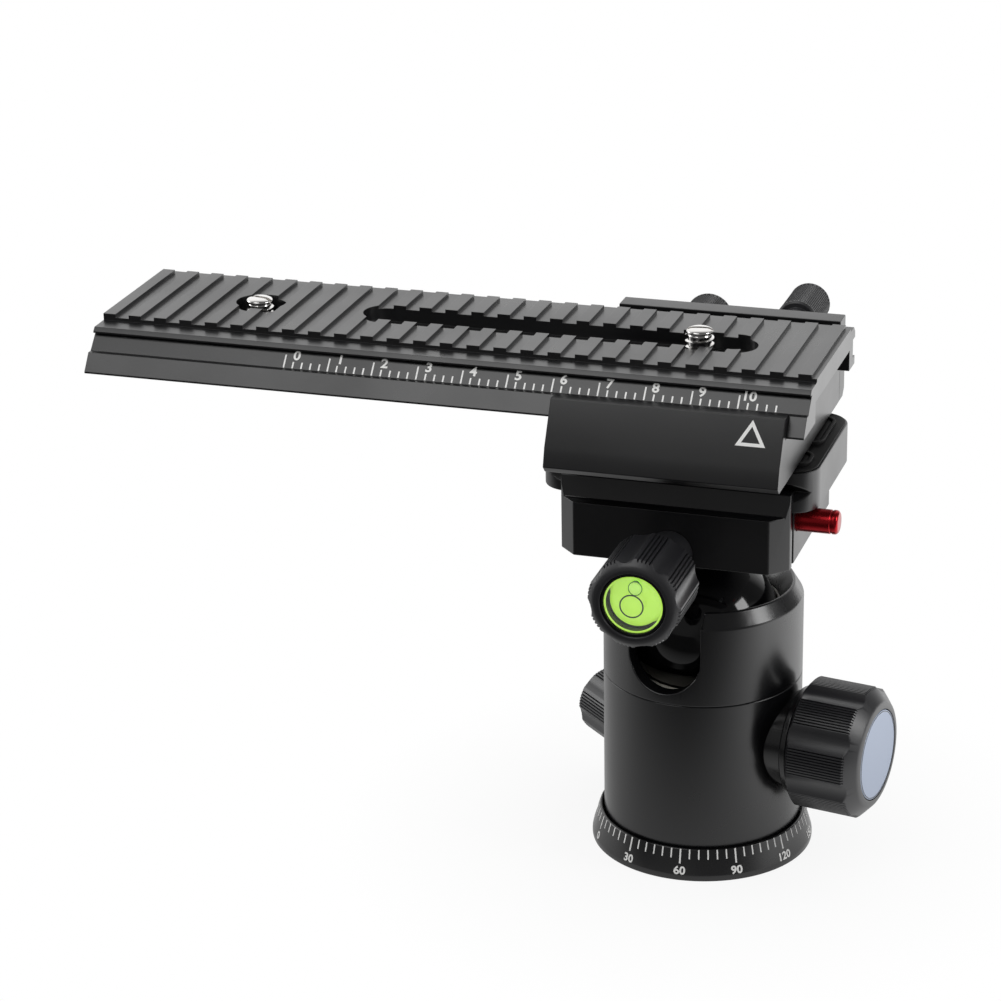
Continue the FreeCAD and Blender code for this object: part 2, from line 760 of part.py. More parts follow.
keep_turned("main_knob", scalloped(
    "main_knob", main_blank, S.main_knob_radius, S.main_knob_scallops,
    S.main_knob_start + S.main_knob_chamfer, grip_end, lock_axis, "+x", S.scallop_depth))
keep_turned("main_knob_cap", rod("cap", (cap_floor, 0, S.lock_axis_height), S.cap_radius,
                                 S.cap_height, "+x"))

# --- pan lock ---------------------------------------------------------------

pad_start = S.spindle_radius + S.loose_play + S.running_fit
pad_end = pad_start + S.pan_pad_length
keep_turned("pan_brake_pad", rod("pan_pad", (pad_start, 0, S.pan_axis_height), S.pan_screw_radius,
                                 S.pan_pad_length, "+x"), S.pan_knob_heading)
keep_turned("pan_lock_screw", rod("pan_screw", (pad_end + S.flat_play, 0, S.pan_axis_height),
                                  S.pan_screw_radius, S.pan_screw_end - pad_end - S.flat_play, "+x"),
            S.pan_knob_heading)
pan_grip_start = S.pan_knob_start + S.pan_neck_length
pan_blank = lathe("pan_blank", [
    (S.pan_screw_radius, S.pan_knob_start),
    (S.pan_neck_radius, S.pan_knob_start),
    (S.pan_neck_radius, pan_grip_start),
    (S.pan_knob_radius - S.pan_knob_bevel / 2, pan_grip_start),
    (S.pan_knob_radius, pan_grip_start + S.pan_knob_bevel / 2),
    (S.pan_knob_radius, S.pan_knob_end - S.pan_knob_bevel),
    (S.pan_knob_radius - S.pan_knob_bevel, S.pan_knob_end),
    (0, S.pan_knob_end),
    (0, S.pan_screw_end),
    (S.pan_screw_radius, S.pan_screw_end),
], pan_axis, "+x")
keep_turned("pan_lock_knob", scalloped(
    "pan_knob", pan_blank, S.pan_knob_radius, S.pan_knob_scallops,
    pan_grip_start, S.pan_knob_end - S.pan_knob_bevel, pan_axis, "+x",
    S.small_scallop_depth), S.pan_knob_heading)

# --- ball and clamp ---------------------------------------------------------

ball_blank = fuse("ball_blank", [
    ball("ball", (0, 0, S.ball_height), S.ball_radius),
    rod("neck", (0, 0, S.ball_height), S.neck_radius, S.neck_top - S.ball_height),
])
bolt_shank = S.neck_top - S.clamp_bolt_bottom
keep("ball_stem", cut("stem", ball_blank, [
    rod("bolt_thread", (0, 0, S.clamp_bolt_bottom), S.clamp_bolt_radius, bolt_shank),
]))
keep("swivel_washer", ring("swivel", S.clamp_bolt_radius, S.neck_radius, S.neck_top, S.clamp_bottom))
bolt_seat = S.channel_floor - S.clamp_bolt_head_height
keep("clamp_bolt", lathe("bolt", [
    (0, S.clamp_bolt_bottom),
    (S.clamp_bolt_radius, S.clamp_bolt_bottom),
    (S.clamp_bolt_radius, bolt_seat),
    (S.clamp_bolt_head_radius, bolt_seat),
    (S.clamp_bolt_head_radius, S.channel_floor),
    (0, S.channel_floor),
]))

clamp_left = S.clamp_middle - S.clamp_length / 2
clamp_right = S.clamp_middle + S.clamp_length / 2
plate_bottom = S.clamp_top + S.flat_play
plate_front = S.row_side - S.plate_half
plate_rear = S.row_side + S.plate_half
lip_top = plate_bottom + S.plate_lip
hook_reach = S.groove_depth - S.loose_play * 2
hook_bend = lip_top + S.flat_play * 2
hook_tip = S.hook_height - S.loose_play * 2
rear_wall = plate_rear + S.flat_play
clamp_section = along("clamp_section", [
    (-S.clamp_front, S.clamp_bottom),
    (S.clamp_rear, S.clamp_bottom),
    (S.clamp_rear, S.clamp_top + S.hook_slope),
    (S.clamp_rear - S.hook_slope, S.hook_height),
    (rear_wall - hook_reach, S.hook_height),
    (rear_wall - hook_reach, hook_tip),
    (rear_wall, hook_bend),
    (rear_wall, S.clamp_top),
    (S.channel_half, S.clamp_top),
    (S.channel_half, S.channel_floor),
    (-S.channel_half, S.channel_floor),
    (-S.channel_half, S.clamp_top),
    (-S.clamp_front, S.clamp_top),
], clamp_left, S.clamp_length)
clamp_plan = raised("clamp_plan", [
    (clamp_left, -S.jaw_front),
    (clamp_right, -S.jaw_front),
    (clamp_right, S.clamp_rear - S.clamp_corner),
    (clamp_right - S.clamp_corner, S.clamp_rear),
    (clamp_left + S.clamp_corner, S.clamp_rear),
    (clamp_left, S.clamp_rear - S.clamp_corner),
], S.clamp_bottom - S.cutter_run, S.hook_height - S.clamp_bottom + 2 * S.cutter_run)
guide_places = [S.clamp_middle - S.guide_spacing / 2, S.clamp_middle + S.guide_spacing / 2]
spring_room = S.guide_spring_radius + S.coil_wire + S.flat_play


def guide_rods(name, radius, back, front):
    """Rods along the two guide pins, from back to front."""
    return [rod("%s%d" % (name, i), (x, -back, S.clamp_axis_height), radius, front - back, "-y")
            for i, x in enumerate(guide_places)]


clamp_tools = [
    rod("bolt_hole", (0, 0, S.clamp_bottom), S.clamp_bolt_radius + S.running_fit, S.clamp_bolt_bottom),
    rod("bolt_recess", (0, 0, bolt_seat), S.clamp_bolt_head_radius + S.loose_play, S.clamp_bolt_bottom),
    rod("clamp_thread", (S.clamp_knob_middle, -S.clamp_screw_back + S.flat_play, S.clamp_axis_height),
        S.clamp_screw_radius + S.running_fit, S.clamp_front, "-y"),
    rod("pin_hole", (S.pin_spring_start, -S.pin_side, S.pin_height), S.pin_radius + S.running_fit,
        S.clamp_length, "+x"),
]
clamp_tools += guide_rods("guide_hole", S.guide_radius, S.guide_back, S.clamp_front)
clamp_tools += guide_rods("spring_hole", spring_room, S.clamp_front - S.guide_spring_pocket, S.clamp_front)
keep("clamp_base", cut("clamp", common("clamp_block", [clamp_section, clamp_plan]), clamp_tools))
keep("guide_pins", several("guides", guide_rods("guide", S.guide_radius, S.guide_back, S.guide_front)))
spring_length = S.jaw_back - S.clamp_front + S.guide_spring_pocket - S.coil_wire * 2 - S.flat_play
spring_start = S.clamp_front - S.guide_spring_pocket + S.coil_wire + S.flat_play / 2
keep("jaw_springs", several("jaw_coils", [
    coil("jaw_coil%d" % i, (x, -spring_start, S.clamp_axis_height), "-y", S.guide_spring_radius,
         S.coil_wire, spring_length / 3, spring_length)
    for i, x in enumerate(guide_places)
]))
pin_coil_length = S.pin_start - S.pin_spring_start - S.coil_wire * 2 - S.flat_play
pin_coil_start = S.pin_spring_start + S.coil_wire + S.flat_play / 2
keep("pin_spring", coil("pin_coil", (pin_coil_start, -S.pin_side, S.pin_height), "+x",
                        S.pin_radius - S.coil_wire * 2, S.coil_wire, pin_coil_length / 3,
                        pin_coil_length))
keep("safety_pin", lathe("pin", [
    (0, S.pin_start),
    (S.pin_radius, S.pin_start),
    (S.pin_radius, S.pin_end - S.pin_chamfer),
    (S.pin_radius - S.pin_chamfer, S.pin_end),
    (0, S.pin_end),
], (0, -S.pin_side, S.pin_height), "+x"))

# --- jaw and clamp knob -------------------------------------------------------

front_wall = plate_front - S.flat_play
jaw_bottom = S.clamp_bottom - S.jaw_drop
jaw_section = along("jaw_section", [
    (-S.jaw_front, jaw_bottom),
    (-S.jaw_back, jaw_bottom),
    (-S.jaw_back, S.clamp_top),
    (front_wall, S.clamp_top),
    (front_wall, hook_bend),
    (front_wall + hook_reach, hook_tip),
    (front_wall + hook_reach, S.hook_height),
    (front_wall - S.hook_wall / 2, S.hook_height),
    (front_wall - S.hook_wall, S.clamp_top),
    (-S.jaw_front, S.clamp_top),
], clamp_left, S.clamp_length)
jaw_plan = raised("jaw_plan", [
    (clamp_left, -S.clamp_front),
    (clamp_left, S.clamp_corner - S.jaw_front),
    (clamp_left + S.clamp_corner, -S.jaw_front),
    (clamp_right - S.clamp_corner, -S.jaw_front),
    (clamp_right, S.clamp_corner - S.jaw_front),
    (clamp_right, -S.clamp_front),
], jaw_bottom - S.cutter_run, S.hook_height - jaw_bottom + 2 * S.cutter_run)
guide_sleeve = S.guide_radius + S.running_fit
jaw_tools = [rod("jaw_hole", (S.clamp_knob_middle, -S.clamp_front, S.clamp_axis_height),
                 S.clamp_screw_radius + S.running_fit, S.jaw_front, "-y")]
jaw_tools += guide_rods("guide_sleeve", guide_sleeve, S.clamp_front, S.guide_front + S.loose_play)
keep("clamp_jaw", cut("jaw", common("jaw_block", [jaw_section, jaw_plan]), jaw_tools))

clamp_axis = (S.clamp_knob_middle, 0, S.clamp_axis_height)
level_floor = S.clamp_knob_end - S.level_depth
clamp_grip_end = S.clamp_knob_end - S.clamp_knob_bevel
knob_neck_start = S.jaw_front + S.flat_play
clamp_screw_end = level_floor - S.knob_floor
keep("clamp_screw", rod("clamp_stud", (S.clamp_knob_middle, -S.clamp_screw_back, S.clamp_axis_height),
                        S.clamp_screw_radius, clamp_screw_end - S.clamp_screw_back, "-y"))
clamp_blank = lathe("clamp_blank", [
    (S.clamp_screw_radius, knob_neck_start),
    (S.clamp_knob_neck_radius, knob_neck_start),
    (S.clamp_knob_neck_radius, S.clamp_knob_start),
    (S.clamp_knob_radius - S.main_knob_chamfer, S.clamp_knob_start),
    (S.clamp_knob_radius, S.clamp_knob_start + S.main_knob_chamfer),
    (S.clamp_knob_radius, clamp_grip_end),
    (S.clamp_knob_radius - S.clamp_knob_bevel, S.clamp_knob_end),
    (S.level_radius, S.clamp_knob_end),
    (S.level_radius, level_floor),
    (0, level_floor),
    (0, clamp_screw_end),
    (S.clamp_screw_radius, clamp_screw_end),
], clamp_axis, "-y")
keep("clamp_knob", scalloped(
    "clamp_knob", clamp_blank, S.clamp_knob_radius, S.clamp_knob_scallops,
    S.clamp_knob_start + S.main_knob_chamfer, clamp_grip_end, clamp_axis, "-y",
    S.small_scallop_depth))
vial_radius = S.level_radius - S.level_wall
vial_floor = level_floor + S.level_base
vial_top = vial_floor + S.vial_height
keep("level_housing", lathe("level", [
    (0, level_floor),
    (S.level_radius, level_floor),
    (S.level_radius, S.clamp_knob_end),
    (vial_radius, S.clamp_knob_end),
    (vial_radius, vial_floor),
    (0, vial_floor),
], clamp_axis, "-y"))
keep("level_vial", rod("vial", (S.clamp_knob_middle, -vial_floor, S.clamp_axis_height), vial_radius,
                       S.vial_height, "-y"))
keep("level_lens", rod("lens", (S.clamp_knob_middle, -vial_top, S.clamp_axis_height), vial_radius,
                       S.lens_height, "-y"))

# --- quick-release plate ----------------------------------------------------------

groove_root = S.plate_half - S.groove_depth
groove_low = lip_top + S.groove_rise
groove_high = groove_low + S.groove_rise
plate_left = S.plate_middle - S.plate_length / 2
plate_right = S.plate_middle + S.plate_length / 2


def on_both_sides(profile):
    """Mirrors (half width, z) corners about the row's middle line."""
    left = [(S.row_side - half, z) for half, z in profile]
    right = [(S.row_side + half, z) for half, z in reversed(profile)]
    return left + right


plate_section = along("plate_section", on_both_sides([
    (S.plate_half, plate_bottom),
    (S.plate_half, lip_top),
    (groove_root, groove_low),
    (S.plate_half, groove_high),
    (S.plate_half, S.plate_top),
]), plate_left, S.plate_length)
corner = S.plate_corner
plate_low = plate_bottom - S.cutter_run
plate_high = S.plate_top + S.cutter_run
corner_rods = []
for i, x in enumerate((plate_left + corner, plate_right - corner)):
    for j, y in enumerate((plate_front + corner, plate_rear - corner)):
        corner_rods.append(rod("corner%d%d" % (i, j), (x, y, plate_low), corner, plate_high - plate_low))
plate_plan = fuse("plate_plan", corner_rods + [
    box("plate_long", (plate_left, plate_front + corner, plate_low),
        (plate_right, plate_rear - corner, plate_high)),
    box("plate_wide", (plate_left + corner, plate_front, plate_low),
        (plate_right - corner, plate_rear, plate_high)),
])
pad_floor = S.plate_top - S.pad_recess
pad_lefts = [plate_left + S.pad_margin, plate_right - S.pad_margin - S.pad_width]


def pad_blocks(name, top):
    """Blocks the size of the four rubber pads, up to the given height."""
    blocks = []
    for i, x in enumerate(pad_lefts):
        for j, (low, high) in enumerate(((S.front_pad_start, S.front_pad_end),
                                         (S.rear_pad_start, S.rear_pad_end))):
            blocks.append(box("%s%d%d" % (name, i, j), (x, low, pad_floor), (x + S.pad_width, high, top)))
    return blocks


screw_head_low = plate_bottom + S.plate_screw_lift
screw_head_top = screw_head_low + S.plate_screw_head_height
keep("quick_release_plate", cut("plate", common("plate_block", [plate_section, plate_plan]), [
    rod("plate_hole", (S.plate_middle, S.row_side, plate_low), S.thread_quarter, S.plate_top, "+z"),
    rod("plate_counterbore", (S.plate_middle, S.row_side, plate_low), S.plate_screw_head_radius,
        screw_head_top - plate_low),
] + pad_blocks("pad_recess", plate_high)))
keep("plate_pads", several("pads", pad_blocks("pad", S.pad_top)))
keep("plate_screw", lathe("plate_fixing", [
    (0, screw_head_low),
    (S.plate_screw_head_radius, screw_head_low),
    (S.plate_screw_head_radius, screw_head_top),
    (S.thread_quarter, screw_head_top),
    (S.thread_quarter, S.plate_screw_top),
    (0, S.plate_screw_top),
], (S.plate_middle, S.row_side, 0)))

# --- carriage -----------------------------------------------------------------------

carriage_bottom = S.pad_top
carriage_left = S.carriage_middle - S.carriage_length / 2
flare_top = S.band_half + S.band_step
flare_slope = (S.foot_half - flare_top) / (S.band_height - S.foot_height)
guide_low = S.foot_half + S.loose_play + (S.foot_height - S.carriage_top) * flare_slope
guide_high = guide_low - (S.jaw_top - S.carriage_top) * flare_slope
carriage_blank = along("carriage_section", [
    (S.jaw_foot_chamfer - S.jaw_foot, carriage_bottom),
    (S.carriage_rear, carriage_bottom),
    (S.carriage_rear, S.carriage_top),
    (S.row_side - guide_low, S.carriage_top),
    (S.row_side - guide_high, S.jaw_top),
    (-S.jaw_edge, S.jaw_top),
    (-S.jaw_bend, S.jaw_bend_height),
    (-S.jaw_foot, S.jaw_foot_height),
], carriage_left, S.carriage_length)
pinion_radius = S.tooth_module * S.pinion_teeth / 2
pinion_tip = pinion_radius + S.tooth_module
pinion_root = pinion_radius - S.tooth_module * S.root_ratio
pocket_half = pinion_tip + S.loose_play
shaft_bore = S.shaft_radius + S.running_fit
pinion_pocket = box(
    "pinion_pocket",
    (S.pinion_middle - pocket_half, S.rack_start - S.loose_play, S.shaft_height - pocket_half),
    (S.pinion_middle + pocket_half, S.rack_start + S.rack_width + S.loose_play, S.jaw_top))
shaft_hole = rod("shaft_hole", (S.pinion_middle, S.shaft_start - S.loose_play, S.shaft_height),
                 shaft_bore, S.carriage_rear, "+y")
shaft_groove = box("shaft_groove",
                   (S.pinion_middle - shaft_bore, S.shaft_start - S.loose_play, S.shaft_height),
                   (S.pinion_middle + shaft_bore, S.carriage_rear + S.cutter_run, S.jaw_top))
rear_screw_places = [S.carriage_middle - S.rear_screw_spacing / 2,
                     S.carriage_middle + S.rear_screw_spacing / 2]
screw_start = S.carriage_rear - S.rear_screw_grip
head_start = S.jaw_rear_face - S.rear_screw_head_height


def rear_screws(name):
    """The two screws through the rear jaw, shank and head."""
    screws = []
    for i, x in enumerate(rear_screw_places):
        screws.append(lathe("%s%d" % (name, i), [
            (0, screw_start),
            (S.rear_screw_radius, screw_start),
            (S.rear_screw_radius, head_start),
            (S.rear_screw_head_radius, head_start),
            (S.rear_screw_head_radius, S.jaw_rear_face),
            (0, S.jaw_rear_face),
        ], (x, 0, S.rear_screw_height), "+y"))
    return screws


rear_fixings = rear_screws("rear_screw")
keep("carriage", cut("carriage_block", carriage_blank, [
    pinion_pocket, shaft_hole, shaft_groove,
    rod("carriage_thread", (S.plate_middle, S.row_side, carriage_bottom), S.thread_quarter,
        S.plate_screw_top - carriage_bottom),
] + rear_fixings))
keep("rear_jaw_screws", several("rear_screws", rear_fixings))

nose = S.row_side + S.rear_waist_half + S.loose_play
nose_low = S.rear_foot_height + S.loose_play
nose_high = S.rear_lip_height - S.loose_play
rear_section = along("rear_section", [
    (S.carriage_rear, carriage_bottom),
    (S.jaw_rear_face - S.rear_jaw_chamfer, carriage_bottom),
    (S.jaw_rear_face, carriage_bottom + S.rear_jaw_chamfer),
    (S.jaw_rear_face, S.rear_jaw_top),
    (S.carriage_rear, S.rear_jaw_top),
    (S.carriage_rear, nose_high),
    (nose, nose_high),
    (nose, nose_low),
    (S.carriage_rear, nose_low),
], carriage_left, S.carriage_length)
bush_radius = S.shaft_radius + S.running_fit + S.shaft_bush_wall
lock_pad_end = nose + S.lock_pad_length
keep("rear_jaw", cut("rear_bar", rear_section, [
    rod("bush_hole", (S.pinion_middle, S.carriage_rear, S.shaft_height), bush_radius, S.carriage_rear, "+y"),
    rod("lock_pad_hole", (S.lock_middle, 0, S.lock_height), S.lock_pad_radius + S.running_fit,
        S.jaw_rear_face, "+y"),
    rod("lock_thread", (S.lock_middle, lock_pad_end, S.lock_height), S.rail_screw_radius + S.running_fit,
        S.jaw_rear_face, "+y"),
] + rear_fixings))
keep("shaft_bush", ring("bush", shaft_bore, bush_radius, S.carriage_rear, S.jaw_rear_face,
                        (S.pinion_middle, 0, S.shaft_height), "+y"))

# --- focus drive -----------------------------------------------------------------------

tooth_pitch = S.tooth_module * math.pi
half_tooth = tooth_pitch / 4 - S.mesh_play
tip_half = half_tooth - S.tooth_module * S.tooth_slope
root_half = half_tooth + S.tooth_module * S.tooth_slope
gear, hub_pad = swept("gear", "XY_Plane", [
    (-tip_half, pinion_tip),
    (-root_half, pinion_root),
    (-root_half, S.shaft_radius / 2),
    (root_half, S.shaft_radius / 2),
    (root_half, pinion_root),
    (tip_half, pinion_tip),
], S.rack_width)
teeth = gear.newObject("PartDesign::PolarPattern", "gear_teeth")
teeth.Originals = [hub_pad]
teeth.Axis = ([f for f in gear.Origin.OriginFeatures if f.Role == "Z_Axis"][0], [""])
teeth.Angle = 360
bind(teeth, "Occurrences", S.pinion_teeth)
gear.Tip = teeth
place(gear, (S.pinion_middle, S.rack_start + S.rack_width, S.shaft_height), "-y")
shaft_end = S.focus_knob_end - S.end_wall
keep("pinion_shaft", fuse("shaft_and_gear", [
    gear,
    rod("gear_core", (S.pinion_middle, S.rack_start, S.shaft_height), pinion_root, S.rack_width, "+y"),
    rod("shaft", (S.pinion_middle, S.shaft_start, S.shaft_height), S.shaft_radius,
        shaft_end - S.shaft_start, "+y"),
]))
focus_axis = (S.pinion_middle, 0, S.shaft_height)
set_screw_side = (S.focus_neck_start + S.focus_knob_start) / 2
set_screw = rod("set_screw", (S.pinion_middle, set_screw_side, S.shaft_height + S.shaft_radius),
                S.set_screw_radius, S.focus_neck_radius - S.shaft_radius - S.loose_play)
focus_blank = lathe("focus_blank", [
    (S.shaft_radius, S.focus_neck_start),
    (S.focus_neck_radius, S.focus_neck_start),
    (S.focus_neck_radius, S.focus_knob_start),
    (S.focus_knob_radius - S.focus_knob_chamfer, S.focus_knob_start),
    (S.focus_knob_radius, S.focus_knob_start + S.focus_knob_chamfer),
    (S.focus_knob_radius, S.focus_knob_end - S.focus_knob_chamfer),
    (S.focus_knob_radius - S.focus_knob_chamfer, S.focus_knob_end),
    (0, S.focus_knob_end),
    (0, shaft_end),
    (S.shaft_radius, shaft_end),
], focus_axis, "+y")
keep("focus_knob", cut("focus_body", focus_blank, [
    rod("set_screw_hole", (S.pinion_middle, set_screw_side, S.shaft_height + S.shaft_radius),
        S.set_screw_radius, S.focus_neck_radius),
]))
keep("focus_set_screw", set_screw)

# --- rail lock ----------------------------------------------------------------------------

lock_screw_start = lock_pad_end + S.flat_play
rail_lock_bore_end = S.rail_lock_end - S.end_wall
lock_line = (S.lock_middle, 0, S.lock_height)
keep("lock_pad", rod("rail_pad", (S.lock_middle, nose, S.lock_height), S.lock_pad_radius,
                     S.lock_pad_length, "+y"))
keep("lock_screw", rod("rail_screw", (S.lock_middle, lock_screw_start, S.lock_height),
                       S.rail_screw_radius, rail_lock_bore_end - lock_screw_start, "+y"))
keep("lock_knob", lathe("rail_lock", [
    (S.rail_screw_radius, S.rail_lock_neck_start),
    (S.rail_lock_neck_radius, S.rail_lock_neck_start),
    (S.rail_lock_neck_radius, S.rail_lock_start),
    (S.rail_lock_radius, S.rail_lock_start),
    (S.rail_lock_radius, S.rail_lock_end - S.rail_lock_bevel),
    (S.rail_lock_radius - S.rail_lock_bevel, S.rail_lock_end),
    (0, S.rail_lock_end),
    (0, rail_lock_bore_end),
    (S.rail_screw_radius, rail_lock_bore_end),
], lock_line, "+y"))

# --- rail -----------------------------------------------------------------------------------

lip_bottom = S.ledge_height - S.lip_height
rail_section = along("rail_section", [
    (S.row_side - S.ridge_half, S.groove_floor),
    (S.row_side - S.ridge_half, S.ledge_height),
    (S.row_side - S.ledge_half, S.ledge_height),
    (S.row_side - S.ledge_half - S.lip_reach, S.ledge_height - S.lip_reach),
    (S.row_side - S.ledge_half - S.lip_reach, lip_bottom),
    (S.row_side - S.ledge_half + S.lip_undercut, lip_bottom),
    (S.row_side - S.band_half, S.band_height),
    (S.row_side - flare_top, S.band_height),
    (S.row_side - S.foot_half, S.foot_height),
    (S.row_side - S.foot_half, S.rail_foot),
    (S.row_side - S.front_leg_half, S.rail_foot),
    (S.row_side - S.front_leg_half, S.web_bottom),
    (S.row_side + S.rear_leg_half, S.web_bottom),
    (S.row_side + S.rear_leg_half, S.rail_foot),
    (S.row_side + S.rear_foot_half, S.rail_foot),
    (S.row_side + S.rear_foot_half, S.rear_foot_height),
    (S.row_side + S.rear_waist_half, S.rear_foot_height),
    (S.row_side + S.rear_waist_half, S.rear_lip_height),
    (S.row_side + S.rear_lip_half, S.rear_lip_height),
    (S.row_side + S.rear_lip_half, lip_bottom),
    (S.row_side + S.rear_lip_half - S.lip_height, S.ledge_height),
    (S.row_side + S.ridge_half, S.ledge_height),
    (S.row_side + S.ridge_half, S.groove_floor),
], S.rail_left, S.rail_length)
ridge_top = S.groove_floor + S.ridge_height
ridges = [
    box("ridge%d" % i, (S.rail_left + i * S.ridge_pitch, S.row_side - S.ridge_half, S.groove_floor),
        (S.rail_left + i * S.ridge_pitch + S.ridge_width, S.row_side + S.ridge_half, ridge_top))
    for i in range(int(S.ridge_count.value))
]
rack_left = S.pinion_middle - S.rack_teeth_left * tooth_pitch - tooth_pitch / 2
rack_right = rack_left + S.rack_teeth * tooth_pitch
rack_axis_side = S.rack_start + S.rack_width / 2
pitch_height = S.shaft_height + pinion_radius
rack_tip = pitch_height - S.tooth_module
rack_root = pitch_height + S.tooth_module * S.root_ratio
rack_screws = []
for i, x in enumerate((rack_left + S.rack_screw_inset, (rack_left + rack_right) / 2,
                       rack_right - S.rack_screw_inset)):
    rack_screws.append(lathe("rack_screw%d" % i, [
        (0, rack_root),
        (S.rack_screw_head_radius, rack_root),
        (S.rack_screw_radius, S.web_bottom),
        (S.rack_screw_radius, S.rack_screw_top),
        (0, S.rack_screw_top),
    ], (x, rack_axis_side, 0)))
keep("rack_screws", several("rack_fixings", rack_screws))

slot_top = ridge_top + S.cutter_run
slots = []
for label, left, right in (("slot", S.slot_left, S.slot_right), ("eye", S.eye_left, S.eye_right)):
    step = S.slot_half - S.slot_through_half
    slots.append(long_hole(label + "_wide", left, right, S.row_side, S.slot_half, S.slot_step, slot_top))
    slots.append(long_hole(label + "_narrow", left + step, right - step, S.row_side,
                           S.slot_through_half, S.web_bottom - S.cutter_run, slot_top))
keep("rail", cut("rail_body", fuse("rail_blank", [rail_section] + ridges), slots + rack_screws))

rack, rack_pad = swept("rack", "XZ_Plane", [
    (rack_left, rack_tip),
    (rack_right, rack_tip),
    (rack_right, S.web_bottom),
    (rack_left, S.web_bottom),
], S.rack_width)
gap_half = tooth_pitch / 4 + S.mesh_play
gap_slope = S.tooth_module * S.tooth_slope
first_gap = rack_left + tooth_pitch / 2
gap_sketch = outline(rack, "XZ_Plane", [
    (first_gap - gap_half - gap_slope, rack_tip),
    (first_gap + gap_half + gap_slope, rack_tip),
    (first_gap + gap_half - gap_slope, rack_root),
    (first_gap - gap_half + gap_slope, rack_root),
], "rack_gap_outline")
gap = rack.newObject("PartDesign::Pocket", "rack_gap")
gap.Profile = gap_sketch
gap.Type = "ThroughAll"
gap.Reversed = True
gaps = rack.newObject("PartDesign::LinearPattern", "rack_gaps")
gaps.Originals = [gap]
gaps.Direction = ([f for f in rack.Origin.OriginFeatures if f.Role == "X_Axis"][0], [""])
bind(gaps, "Length", tooth_pitch * (S.rack_teeth - 1))
bind(gaps, "Occurrences", S.rack_teeth)
rack.Tip = gaps
place(rack, (0, S.rack_start + S.rack_width, 0))
screw_wells = [
    rod("rack_well%d" % i, (x, rack_axis_side, rack_tip), S.rack_screw_head_radius, rack_root - rack_tip)
    for i, x in enumerate((rack_left + S.rack_screw_inset, (rack_left + rack_right) / 2,
                           rack_right - S.rack_screw_inset))
]
keep("gear_rack", cut("rack_bar", rack, rack_screws + screw_wells))

# --- camera screws ------------------------------------------------------------------------------

washer_top = S.web_bottom - S.flat_play
washer_low = washer_top - S.camera_washer_height
head_low = washer_low - S.camera_head_height
for label, middle, top in (("slot", S.slot_screw_middle, S.slot_screw_top),
                           ("eye", S.eye_screw_middle, S.eye_screw_top)):
    spot = (middle, S.row_side, 0)
    thread_end = top - S.screw_chamfer
    keep(label + "_screw", lathe(label + "_camera_screw", [
        (0, head_low),
        (S.camera_head_radius, head_low),
        (S.camera_head_radius, washer_low),
        (S.camera_neck_radius, washer_low),
        (S.camera_neck_radius, thread_end - S.camera_thread_length),
        (S.thread_quarter, thread_end - S.camera_thread_length),
        (S.thread_quarter, thread_end),
        (S.thread_quarter - S.screw_chamfer, top),
        (0, top),
    ], spot))
    keep(label + "_washer", ring(label + "_camera_washer", S.camera_neck_radius + S.running_fit,
                                 S.camera_washer_radius, washer_low, washer_top, spot))

doc.recompute()
for thing in doc.Objects:
    if "Invalid" in thing.State or "Error" in thing.State:
        raise RuntimeError("%s did not build" % thing.Name)
os.makedirs("parts", exist_ok=True)
for name, thing in NODES.items():
    if thing.Shape.isNull() or not thing.Shape.isValid():
        raise RuntimeError("%s has no valid shape" % name)
    thing.Shape.exportStep("parts/%s.step" % name)
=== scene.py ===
import json
import math

import bpy
from mathutils import Matrix, Vector


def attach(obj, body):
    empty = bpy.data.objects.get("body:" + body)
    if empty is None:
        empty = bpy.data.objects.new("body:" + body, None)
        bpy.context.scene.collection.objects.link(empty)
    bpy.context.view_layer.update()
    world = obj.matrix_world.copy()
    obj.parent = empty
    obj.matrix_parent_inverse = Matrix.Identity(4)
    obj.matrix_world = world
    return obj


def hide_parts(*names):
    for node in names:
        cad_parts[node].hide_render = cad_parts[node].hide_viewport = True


MM = 0.001
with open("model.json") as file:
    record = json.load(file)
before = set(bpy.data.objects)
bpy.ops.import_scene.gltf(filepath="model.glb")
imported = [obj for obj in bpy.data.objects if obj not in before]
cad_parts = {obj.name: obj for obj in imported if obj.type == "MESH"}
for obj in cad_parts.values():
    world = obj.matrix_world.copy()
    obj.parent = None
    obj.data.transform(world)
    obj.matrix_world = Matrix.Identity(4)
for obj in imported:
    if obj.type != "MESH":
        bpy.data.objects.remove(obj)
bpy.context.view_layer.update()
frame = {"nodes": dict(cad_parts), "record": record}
joints = {joint["name"]: joint for joint in frame["record"]["behaviour"]["joints"]}


# --- ways of working ----------------------------------------------------------

KINDS = ("VERT", "EDGE", "FACE")
SMOOTHING_MARGIN = 8  # degrees that an edge may turn past the easing limit and still look round
WELD = MM / 500  # points of a turned piece that are closer than this are one
SOLID_WELD = MM / 1000  # the same for the points of a machined solid
HAIR = 0.01 * MM  # two places closer than this are the same


def unselect():
    """Leaves edit mode with nothing selected."""
    if bpy.context.object and bpy.context.object.mode != "OBJECT":
        bpy.ops.object.mode_set(mode="OBJECT")
    bpy.ops.object.select_all(action="DESELECT")


def take_up(piece):
    """Makes a piece the only selected object and the active one."""
    unselect()
    piece.select_set(True)
    bpy.context.view_layer.objects.active = piece
    return piece


def pick(piece, kind, test):
    """Selects in edit mode the vertices, edges or faces that pass a test."""
    take_up(piece)
    groups = dict(zip(KINDS, (piece.data.vertices, piece.data.edges, piece.data.polygons)))
    for group in groups.values():
        group.foreach_set("select", [False] * len(group))
    for item in groups[kind]:
        item.select = test(item)
    bpy.context.tool_settings.mesh_select_mode = [kind == other for other in KINDS]
    bpy.ops.object.mode_set(mode="EDIT")


